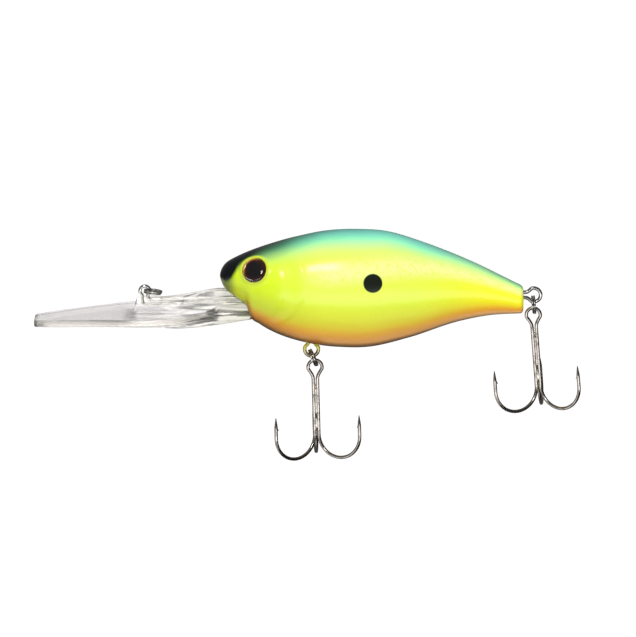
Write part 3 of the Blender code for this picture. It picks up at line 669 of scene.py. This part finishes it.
def plated_wire(name, colour, roughness, tint=None):
    """Nickel plating with faint drawing lines and darker spots; tint is an overspray: its colour, and
    the heights between which it grows from none to full."""
    wire = Shader(name)
    coordinates = wire.position()
    spots = wire.noise(coordinates, 900.0, 4.0, 0.6)
    lines = wire.noise(coordinates, 5200.0, 2.0)
    darker = tuple(c * 0.72 for c in colour)
    base = wire.mix(wire.step(spots, 0.45, 0.75), colour, darker)
    wire.set(Metallic=1.0)
    if tint:
        paint_colour, low, high = tint
        painted = wire.step(wire.split(coordinates)["Z"], low * MM, high * MM)
        base = wire.mix(painted, base, paint_colour)
        wire.feed("Metallic", wire.math("SUBTRACT", 1.0, wire.math("MULTIPLY", painted, 0.85)))
    wire.feed("Base Color", base)
    wire.feed("Roughness", wire.step(spots, 0.35, 0.75, roughness, roughness + 0.12))
    wire.feed("Normal", wire.bump(lines, 0.000004, 0.15))
    return wire.material


# ---- Body ----
gill_edge = curve_through(sorted(GILL_EDGE))
gill_inner_edge = curve_through(sorted(GILL_INNER_EDGE))


def gill_relief(along, z):
    """How far the cheek plates stand above the flank behind them."""
    relief = 0.0
    for edge, knots, step in (
        (gill_edge, GILL_EDGE, GILL_STEP),
        (gill_inner_edge, GILL_INNER_EDGE, GILL_INNER_STEP),
    ):
        top, bottom = knots[0][0], knots[-1][0]
        reach = smooth_step(z, bottom - 1.0, bottom + 2.0) * smooth_step(z, top + 1.0, top - 2.0)
        behind = along - edge(z)
        rise = smooth_step(behind, -GILL_FADE, -0.2) * smooth_step(behind, 0.25, -0.15)
        relief += step * reach * rise
    return relief


def eye_relief(point):
    """The low rounded rim that the eye sits in."""
    side = -1 if point.y < 0 else 1
    away = (point - flank_point(EYE_FROM_NOSE, EYE_Z, side)).length
    return EYE_RIM_HEIGHT * math.exp(-(((away - EYE_RIM_RADIUS) / EYE_RIM_HALF_WIDTH) ** 2))


def skin_stations():
    """Distances from the nose, closer together at the nose and at the tail's rounded edge."""
    shares = [i / SKIN_STEPS_ALONG for i in range(1, SKIN_STEPS_ALONG)]
    reach = BODY_LENGTH - TAIL_ROUNDING - SKIN_START
    stations = [SKIN_START + reach * share**SKIN_STEP_GROWTH for share in shares]
    ends = [BODY_LENGTH - TAIL_ROUNDING * (1 - math.sin(math.radians(a))) for a in (0, 20, 40, 60, 80)]
    return [SKIN_START] + stations + ends


def skin_point(along, angle, side):
    """A point of one painted half, with its relief and its rounded tail."""
    over = max(along - (BODY_LENGTH - TAIL_ROUNDING), 0.0)
    inset = TAIL_ROUNDING - math.sqrt(max(TAIL_ROUNDING**2 - over**2, 0.0))
    point = body_point(along, angle, inset)
    point.y = side * abs(point.y)
    nearby = body_point(along, angle, inset - 1.0)
    nearby.y = side * abs(nearby.y)
    outward = (nearby - point).normalized()
    groove = SEAM_GROOVE_DEPTH * math.exp(-((point.y / SEAM_GROOVE_HALF_WIDTH) ** 2))
    point += outward * (gill_relief(along, point.z) + eye_relief(point) - groove)
    point.y = side * max(abs(point.y), SEAM_HALF_GAP)
    return point


def half_skin(name, side):
    rings = []
    for along in skin_stations():
        angles = [math.pi / 2 - math.pi * i / SKIN_STEPS_ROUND for i in range(SKIN_STEPS_ROUND + 1)]
        rings.append([skin_point(along, angle, side) for angle in angles])
    return mesh_from_rings(name, rings)


def hollow_tool(side):
    """The room inside one half, open to the seam."""
    first, last = HOLLOW
    rings = []
    for i in range(HOLLOW_STEPS_ALONG + 1):
        along = first + (last - first) * i / HOLLOW_STEPS_ALONG
        ring = []
        for j in range(HOLLOW_STEPS_ROUND + 1):
            point = body_point(along, math.pi / 2 - math.pi * j / HOLLOW_STEPS_ROUND, WALL)
            point.y = side * abs(point.y) if 0 < j < HOLLOW_STEPS_ROUND else -side * 0.5
            ring.append(point)
        rings.append(ring)
    return mesh_from_rings("hollow", rings)


def eye_hole_tool(side):
    profile = [(EYE_HOLE_RADIUS, EYE_HOLE_BOTTOM), (EYE_HOLE_RADIUS, EYE_HOLE_TOP)]
    tool = turned_mesh("eye_hole", profile)
    tool.transform(in_metres(flank_frame(EYE_FROM_NOSE, EYE_Z, side)))
    return tool


def write_paint_places(mesh):
    """Where each vertex lies on the body: along it, and up its section."""
    places = np.array([vert.co for vert in mesh.vertices]) / MM
    along = np.clip(places[:, 0] - NOSE_X, 0.0, BODY_LENGTH)
    top = np.array([body_top(a) for a in along])
    bottom = np.array([body_bottom(a) for a in along])
    height = np.clip((places[:, 2] - bottom) / np.maximum(top - bottom, 0.1), 0.0, 1.0)
    write_values(mesh, "paint_along", along / BODY_LENGTH)
    write_values(mesh, "paint_height", height)


def build_body():
    paint = body_paint()
    for word, side in (("left", -1), ("right", 1)):
        name = "painted_shell_" + word
        mesh = cut(half_skin(name, side), [hollow_tool(side), eye_hole_tool(side)])
        write_paint_places(mesh)
        add_piece(name, mesh, paint, "lure", ("body_shell_" + word,), 40)


# ---- Eyes ----
def build_eyes():
    resin = lens_resin()
    for word, side in (("left", -1), ("right", 1)):
        place = in_metres(flank_frame(EYE_FROM_NOSE, EYE_Z, side))
        top = EYE_FLOOR + IRIS_THICKNESS
        rims = [(EYE_RADIUS - 0.1, EYE_FLOOR), (EYE_RADIUS, EYE_FLOOR + 0.1), (EYE_RADIUS, top - 0.1)]
        rings = [(EYE_RADIUS * share, top) for share in (0.97, 0.88, 0.75, 0.6, 0.45, 0.3, 0.15, 0.03)]
        disc = turned_mesh("iris_" + word, rims + rings)
        write_iris_places(disc, place)
        disc.transform(place)
        add_piece("iris_" + word, disc, iris_print(side), "lure", ("eye_disc_" + word,))
        angles = [math.radians(a) for a in range(0, 90, 6)]
        shoulder = LENS_FOOT + LENS_EDGE
        dome = [(EYE_RADIUS * math.cos(a), shoulder + LENS_RISE * math.sin(a)) for a in angles]
        lens = turned_mesh("lens_" + word, [(EYE_RADIUS - 0.05, LENS_FOOT), *dome])
        lens.transform(place)
        add_piece("lens_" + word, lens, resin, "lure", ("eye_lens_" + word,))


def write_iris_places(mesh, place):
    """How far each vertex is from the pupil's middle, and how far it faces the brow, the side where the
    iris's highlight is painted.
    """
    lit_way = place.to_3x3().inverted() @ Vector(LIT_SIDE_OF_IRIS)
    lit_way = Vector((lit_way.x, lit_way.y, 0)).normalized()
    spokes = [Vector((vert.co.x, vert.co.y, 0)) for vert in mesh.vertices]
    write_values(mesh, "iris_radius", [min(spoke.length / (EYE_RADIUS * MM), 1.0) for spoke in spokes])
    write_values(mesh, "iris_lit_side", [0.5 + 0.5 * spoke.normalized().dot(lit_way) for spoke in spokes])


# ---- Lip ----
def lip_ring(x):
    """One section of the lip, rounded at its two edges."""
    half_width = lip_half_width(x)
    plate_top = lip_plate_top(x)
    ramp = max(lip_ramp_top(x) - plate_top, 0.0)
    root = max(plate_top - LIP_THICKNESS - lip_root_bottom(x), 0.0)
    ramp_width = ramp_half_width(x)
    radius = min(LIP_EDGE_RADIUS, half_width * 0.3)
    flat = half_width - radius
    shares = [1.0, 0.95, 0.88, 0.8, 0.7, 0.6, 0.5, 0.42, 0.36, 0.3, 0.25, 0.2, 0.15, 0.1, 0.05, 0.0]
    across = [flat * share for share in shares]
    across += [-y for y in across[-2::-1]]
    middle = plate_top - LIP_THICKNESS / 2
    half = LIP_THICKNESS / 2

    def rise(y, height, width):
        return height / (1 + (abs(y) / width) ** 4)

    turn = [math.radians(a) for a in (72, 54, 36, 18, 0, -18, -36, -54, -72)]
    top = [Vector((x, y, plate_top + rise(y, ramp, ramp_width))) for y in across]
    left = [Vector((x, -flat - radius * math.cos(a), middle + half * math.sin(a))) for a in turn]
    floor = plate_top - LIP_THICKNESS
    root_width = half_width * ROOT_WIDTH_SHARE
    bottom = [Vector((x, y, floor - rise(y, root, root_width))) for y in across[::-1]]
    right = [Vector((point.x, -point.y, point.z)) for point in reversed(left)]
    return top + left + bottom + right


def lip_stations():
    """Where the sections stand, closer together at the tip and where the ramp starts."""
    tip = [LIP_TIP_X + step for step in (0.0, 0.08, 0.2, 0.4, 0.7, 1.0, 1.4)]
    plate = [LIP_TIP_X + 2.0 + 0.75 * i for i in range(28)]
    ramp_start = [-3.4 + 0.16 * i for i in range(17)]
    rest = [-0.6 + 0.7 * i for i in range(46)]
    return tip + [x for x in plate if x < -3.5] + ramp_start + [x for x in rest if x <= LIP_TONGUE_X]


def build_lip():
    """The lip, with how much each vertex belongs to its rims and to the root's underside."""
    mesh = mesh_from_rings("clear_diving_lip", [lip_ring(x) for x in lip_stations()])
    rim, under = [], []
    for vert in mesh.vertices:
        x, y = vert.co.x / MM, abs(vert.co.y) / MM
        from_edge = lip_half_width(x) - y
        above_root = vert.co.z / MM - lip_root_bottom(x)
        under.append(smooth_step(above_root, 1.5, 0.5) * smooth_step(x, -4.0, 4.0))
        tip = smooth_step(x, LIP_TIP_X + 1.2, LIP_TIP_X)
        rim.append(max(smooth_step(from_edge, 0.6, 0.05), tip))
    write_values(mesh, "rim", rim)
    write_values(mesh, "under", under)
    add_piece("clear_diving_lip", mesh, clear_plastic(), "lure", ("diving_lip",), 50)


# ---- Wire forms and rings ----
def tie_wire_path():
    """Lower leg, up round the eye, upper leg, and an anchor loop inside the head."""
    upper, lower = TIE_UPPER_LEG_Z, TIE_LOWER_LEG_Z
    middle = (upper + lower) / 2
    start = [(TIE_ANCHOR_X - 2.2, upper), (20.0, upper), (6.0, upper)]
    rise_right = [(1.6, upper + 0.02), (0.75, -1.75)]
    eye = arc((0, 0), TIE_EYE_RADIUS, -55, 235, 14)
    fall_left = [(-0.62, -1.9), (-0.35, lower + 0.35), (0.6, lower)]
    back = [(6.0, lower), (20.0, lower), (TIE_ANCHOR_X - 2.4, lower)]
    anchor = arc((TIE_ANCHOR_X, middle), TIE_ANCHOR_RADIUS, -120, 120, 9)
    to_eye = [Vector((x, 0, z)) for x, z in start + rise_right]
    to_anchor = [Vector((x, 0, z)) for x, z in fall_left + back]
    return smoothed(to_eye + eye + to_anchor + anchor, 4)


def hanger_path():
    """A loop hanging below its middle, with two legs that run up and end in outward feet."""
    leg, top, radius = HANGER_LEG_OFFSET, HANGER_LEG_TOP, HANGER_LOOP_RADIUS
    foot = [(-leg - HANGER_FOOT, top), (-leg - 1.1, top - 0.05), (-leg - 0.15, top - 0.75)]
    left_leg = foot + [(-leg, top - 1.6), (-leg, 2.5), (-leg - 0.18, 1.45)]
    loop = [(point.x, point.z) for point in arc((0, 0), radius, 160, 380, 11)]
    right_leg = [(-x, z) for x, z in reversed(left_leg)]
    return smoothed([Vector((x, 0, z)) for x, z in left_leg + loop + right_leg], 4)


def ring_mesh(name):
    """Two turns of flat wire with rounded corners about Z, the second stepping over beside the first."""
    pitch = RING_WIRE_AXIAL + RING_TURN_GAP
    steps = round(RING_TURN_ANGLE / (2 * math.pi) * RING_STEPS_PER_TURN)
    half_radial, half_axial = RING_WIRE_RADIAL / 2, RING_WIRE_AXIAL / 2
    outline = []
    for i in range(RING_SECTION_SIDES):
        a = 2 * math.pi * i / RING_SECTION_SIDES
        r = half_radial * signed_power(math.cos(a), RING_SECTION_POWER)
        outline.append((r, half_axial * signed_power(math.sin(a), RING_SECTION_POWER)))
    rings = []
    for step in range(steps + 1):
        angle = RING_TURN_ANGLE * step / steps
        height = pitch * (smooth_step(angle, RING_JOG_START, RING_JOG_END) - 0.5)
        direction = Vector((math.cos(angle), math.sin(angle), 0))
        rings.append([direction * (RING_RADIUS + r) + Vector((0, 0, height + z)) for r, z in outline])
    return mesh_from_rings(name, rings)


def add_ring(name, centre, axis, material, body, node):
    mesh = ring_mesh(name)
    turn = Vector((0, 0, 1)).rotation_difference(Vector(axis)).to_matrix().to_4x4()
    mesh.transform(Matrix.Translation(Vector(centre) * MM) @ turn)
    add_piece(name, mesh, material, body, (node,), 50)


def build_wires():
    nickel = plated_wire("nickel_wire", (0.86, 0.86, 0.85), 0.12)
    ring_plate = plated_wire("nickel_split_ring", (0.8, 0.79, 0.77), 0.14)
    overspray = ("d8cc50", BELLY_HANGER[1] - 0.9, BELLY_HANGER[1] + 0.6)
    oversprayed = plated_wire("oversprayed_wire", (0.78, 0.74, 0.6), 0.2, overspray)
    tie = wire_mesh("line_tie_wire_form", tie_wire_path(), TIE_WIRE / 2)
    add_piece("line_tie_wire_form", tie, nickel, "lure", ("line_tie_wire",))
    for prefix, (x, z), turn, material, slot in (
        ("belly", BELLY_HANGER, 0.0, oversprayed, "painted_wire"),
        ("tail", TAIL_HANGER, -math.pi / 2, nickel, "plated_wire"),
    ):
        name = prefix + "_hanger_form"
        mesh = wire_mesh(name, hanger_path(), HANGER_WIRE / 2)
        mesh.transform(Matrix.Translation(Vector((x, 0, z)) * MM) @ Matrix.Rotation(turn, 4, "Y"))
        add_piece(name, mesh, material, "lure", (prefix + "_hanger_wire",))
        lean = RING_LEAN[prefix]
        centre = (x + RING_SHIFT[prefix], 0, z - HANGER_LOOP_RADIUS - RING_ON_HANGER[prefix])
        axis = (math.cos(lean), 0, math.sin(lean))
        node = prefix + "_split_ring"
        add_ring(prefix + "_ring_coil", centre, axis, ring_plate, prefix + "_ring", node)
    slope = TIE_RING_SLOPE
    centre = Vector((math.cos(slope), 0, math.sin(slope))) * RING_RADIUS
    axis = (-math.sin(slope), 0, math.cos(slope))
    add_ring("line_tie_ring_coil", centre, axis, ring_plate, "line_tie_ring", "line_tie_split_ring")


# ---- Treble hooks ----
def hook_end(shank, direction, depth):
    """From the shank's foot round the bend to the point."""
    down = Vector((0, 0, -1))
    centre = shank + direction * BEND_RADIUS + down * depth
    angles = [math.radians(180 + 7.5 * i) for i in range(25)]
    bend = [centre + BEND_RADIUS * (math.cos(a) * direction - math.sin(a) * down) for a in angles]
    spear_foot = bend[-1]
    tip = spear_foot - down * SPEAR_LENGTH - direction * SPEAR_LEAN
    shares = (0.12, 0.24, 0.36, 0.48, 0.56, 0.64, 0.72, 0.8, 0.87, 0.93, 0.97, 1.0)
    return bend + [spear_foot.lerp(tip, share) for share in shares]


def tapered(path):
    """Wire radii along a path that ends in a ground point."""
    left = [0.0]
    for a, b in zip(path[::-1], path[-2::-1]):
        left.append(left[-1] + (a - b).length)
    full = HOOK_WIRE / 2
    radii = []
    for distance in left[::-1]:
        share = min(distance / POINT_LENGTH, 1.0)
        radii.append(POINT_RADIUS + (full - POINT_RADIUS) * share**0.8)
    return radii


def barb_mesh(shank, direction, depth):
    """A small sliver raised from the inner side of the spear, its tip towards the bend."""
    down = Vector((0, 0, -1))
    spear_foot = shank + direction * 2 * BEND_RADIUS + down * depth
    tip = spear_foot - down * SPEAR_LENGTH - direction * SPEAR_LEAN
    along = (spear_foot - tip).normalized()
    inward = -(direction - along * direction.dot(along)).normalized()
    side = along.cross(inward)
    surface = HOOK_WIRE / 2 - 0.1
    start = tip + along * (BARB_BELOW_TIP - BARB_LENGTH) + inward * surface * 0.8
    end = tip + along * BARB_BELOW_TIP + inward * (surface + BARB_STAND)
    rings = []
    for i in range(7):
        share = i / 6
        middle = start.lerp(end, share)
        below_tip = BARB_BELOW_TIP - BARB_LENGTH * (1 - share) - 0.25 * share
        root = tip + along * below_tip + inward * (surface - 0.2)
        half = BARB_HALF_WIDTH * (1 - 0.75 * share)
        edge, foot = side * half * 0.6, side * half
        rings.append([middle + edge, middle - edge, root - foot, root + foot])
    return mesh_from_rings("barb", rings)


def eye_and_neck_path():
    """Half of the pair, from the top of the eye round its tail side and down to the shank."""
    eye = arc((0, 0), HOOK_EYE_RADIUS, 90, HOOK_EYE_FOOT, 12)
    shank = Vector((SHANK_OFFSET, 0, 0))
    spreads = ((NECK_SPREAD, NECK_TOP), (0.03, NECK_DEPTH), (0.0, SHANK_START))
    neck = [shank + Vector((x, 0, -down)) for x, down in spreads]
    return smoothed(eye + neck, 3)


def mirrored(points):
    return [Vector((-point.x, point.y, point.z)) for point in points]


def braze_mesh(depth):
    """The solder that fills the groove between the shanks and swells into a fillet above the bends."""
    low, high = 0.6 - depth, -SINGLE_SHANK_TOP
    rings = []
    for i in range(BRAZE_STEPS + 1):
        share = i / BRAZE_STEPS
        fill = smooth_step(share, 0.0, 0.04) * smooth_step(share, 1.0, 0.93)
        fillet = math.sin(math.pi * min(share * (high - low) / FILLET_LENGTH, 1.0)) ** 0.5
        radius_x = 0.1 + 0.3 * fill + 0.42 * fillet
        radius_y = 0.1 + 0.35 * fill + 0.47 * fillet
        middle_y = 0.15 + 0.27 * fillet
        ring = []
        for j in range(BRAZE_SIDES):
            a = 2 * math.pi * j / BRAZE_SIDES
            y = middle_y + radius_y * math.sin(a)
            ring.append(Vector((radius_x * math.cos(a), y, low + (high - low) * share)))
        rings.append(ring)
    return mesh_from_rings("braze", rings)


def build_trebles():
    plate = plated_wire("black_nickel_hook", (0.8, 0.77, 0.74), 0.16)
    angle = DOUBLE_HOOK_ANGLE
    for prefix, (x, z) in (("belly", BELLY_HANGER), ("tail", TAIL_HANGER)):
        depth = BEND_DEPTH[prefix]
        low = HANGER_LOOP_RADIUS + RING_ON_HANGER[prefix] + RING_RADIUS
        pivot = Vector((x + TREBLE_SHIFT[prefix], 0, z - low))
        drop = Matrix.Translation(Vector((0, 0, -HOOK_EYE_UNDER_RING[prefix])) * MM)
        turn = Matrix.Rotation(TREBLE_TURN[prefix], 4, "Z")
        tilt = Matrix.Rotation(TREBLE_TILT[prefix], 4, "Y")
        place = Matrix.Translation(pivot * MM) @ tilt @ drop @ turn
        shank = Vector((SHANK_OFFSET, 0, 0))
        direction = Vector((math.cos(angle), -math.sin(angle), 0))
        half = eye_and_neck_path() + hook_end(shank, direction, depth)
        radii = tapered(half)
        wire = wire_mesh("pair", mirrored(half)[:0:-1] + half, radii[:0:-1] + radii)
        other = Vector((-direction.x, direction.y, 0))
        barbs = [barb_mesh(shank, direction, depth), barb_mesh(-shank, other, depth)]
        name = prefix + "_hook_pair"
        pair = joined(name, [wire, *barbs, braze_mesh(depth)])
        pair.transform(place)
        add_piece(name, pair, plate, prefix + "_treble", (prefix + "_treble_double_hook",))
        shank = Vector((0, SINGLE_SHANK_OFFSET, 0))
        drops = (SINGLE_SHANK_TOP, 8.0, depth - 2.0)
        path = smoothed([shank + Vector((0, 0, -down)) for down in drops], 6)
        path += hook_end(shank, Vector((0, 1, 0)), depth)
        wire = wire_mesh("single", path, tapered(path), first_normal=(1, 0, 0))
        name = prefix + "_hook_single"
        single = joined(name, [wire, barb_mesh(shank, Vector((0, 1, 0)), depth)])
        single.transform(place)
        add_piece(name, single, plate, prefix + "_treble", (prefix + "_treble_single_hook",))


# ---- Pieces inside, which keep their CAD shapes ----
def finish_inside():
    """Materials for the ballast and the balls."""
    lead = Shader("dull_cast_lead")
    grain = lead.noise(lead.position(), 700.0, 5.0, 0.65)
    lead.feed("Base Color", lead.mix(lead.step(grain, 0.35, 0.7), "6b6e72", "4c4e52"))
    lead.feed("Roughness", lead.step(grain, 0.3, 0.7, 0.45, 0.65))
    lead.feed("Normal", lead.bump(grain, 0.00008, 0.5))
    lead.set(Metallic=0.85)
    steel = plated_wire("polished_ball_steel", (0.82, 0.82, 0.83), 0.1)
    for name, material in (
        ("belly_weight", lead.material),
        ("rattle_ball_1", steel),
        ("rattle_ball_2", steel),
        ("rattle_ball_3", steel),
    ):
        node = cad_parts[name]
        for i in range(len(node.material_slots)):
            node.material_slots[i].link = "OBJECT"
            node.material_slots[i].material = material


# ---- Floor, light and camera ----
def direction_from(azimuth, elevation):
    """From the lure towards a place: azimuth 0 is in front of its left flank, and grows tailwards."""
    a, e = math.radians(azimuth), math.radians(elevation)
    return Vector((math.sin(a) * math.cos(e), -math.cos(a) * math.cos(e), math.sin(e)))


def add_light(name, azimuth, elevation, distance, size, radiance, mirrored):
    """A softbox facing the lure."""
    data = bpy.data.lights.new(name, "AREA")
    data.shape = "RECTANGLE"
    data.size, data.size_y = size
    data.energy = radiance * size[0] * size[1] * math.pi
    light = new_object(name, data)
    target = Vector((AIM_X, 0, 0))
    light.location = target + direction_from(azimuth, elevation) * distance
    light.rotation_euler = (target - light.location).to_track_quat("-Z", "Y").to_euler()
    light.visible_camera = False
    light.visible_glossy = mirrored


def build_world():
    """A dim sky, shaded on one side, with a soft glow low on the other."""
    world = bpy.data.worlds.new("studio")
    bpy.context.scene.world = world
    world.use_nodes = True
    tree = world.node_tree
    direction = tree.nodes.new("ShaderNodeTexCoord").outputs["Generated"]

    def smooth_range(source, edges, values):
        made = tree.nodes.new("ShaderNodeMapRange")
        made.interpolation_type = "SMOOTHSTEP"
        tree.links.new(source, made.inputs["Value"])
        for key, number in zip(("From Min", "From Max", "To Min", "To Max"), (*edges, *values)):
            made.inputs[key].default_value = number
        return made.outputs["Result"]

    def facing(azimuth, elevation):
        made = tree.nodes.new("ShaderNodeVectorMath")
        made.operation = "DOT_PRODUCT"
        tree.links.new(direction, made.inputs[0])
        made.inputs[1].default_value = direction_from(azimuth, elevation)
        return made.outputs["Value"]

    parts = tree.nodes.new("ShaderNodeSeparateXYZ")
    tree.links.new(direction, parts.inputs[0])
    strength = tree.nodes.new("ShaderNodeMath")
    strength.operation = "MULTIPLY_ADD"
    terms = (
        smooth_range(parts.outputs["Z"], SKY_HEIGHTS, SKY_VALUES),
        smooth_range(facing(*SHADE_DIRECTION), SHADE_EDGES, SHADE_VALUES),
        smooth_range(facing(*GLOW_DIRECTION), GLOW_EDGES, GLOW_VALUES),
    )
    for term, socket in zip(terms, strength.inputs):
        tree.links.new(term, socket)
    background = tree.nodes["Background"]
    background.inputs["Color"].default_value = (1.0, 0.995, 0.985, 1.0)
    tree.links.new(strength.outputs["Value"], background.inputs["Strength"])


def build_floor():
    """A wide pale floor, well below the hooks."""
    bm = bmesh.new()
    bmesh.ops.create_circle(bm, cap_ends=True, segments=96, radius=FLOOR_RADIUS)
    mesh = bpy.data.meshes.new("floor")
    bm.to_mesh(mesh)
    bm.free()
    paper = Shader("floor_paper")
    fibre = paper.noise(paper.position(), 40.0, 3.0)
    paper.feed("Base Color", paper.mix(fibre, "f6f6f4", "fafaf8"))
    paper.set(Roughness=0.9, Emission_Color=(1.0, 1.0, 1.0), Emission_Strength=0.9)
    mesh.materials.append(paper.material)
    floor = new_object("floor", mesh)
    floor.location.z = FLOOR_Z
    floor.visible_diffuse = False
    floor.visible_glossy = False


def build_camera():
    data = bpy.data.cameras.new("camera")
    data.sensor_fit = "HORIZONTAL"
    data.sensor_width = SENSOR_WIDTH
    data.lens = SENSOR_WIDTH * CAMERA_DISTANCE / FRAME_WIDTH
    data.clip_end = 30.0
    camera = new_object("camera", data)
    e = CAMERA_ELEVATION
    up = Vector((0, math.sin(e), math.cos(e)))
    aim = Vector((AIM_X, 0, 0)) + up * AIM_UP
    camera.location = aim + Vector((0, -math.cos(e), math.sin(e))) * CAMERA_DISTANCE
    camera.rotation_euler = (math.pi / 2 - e, 0, 0)
    bpy.context.scene.camera = camera


def build_stage():
    build_world()
    build_floor()
    build_camera()
    for light in LIGHTS:
        add_light(*light)
    bpy.context.scene.view_settings.view_transform = "Standard"


build_stage()
build_lip()
build_body()
build_eyes()
build_wires()
build_trebles()
finish_inside()
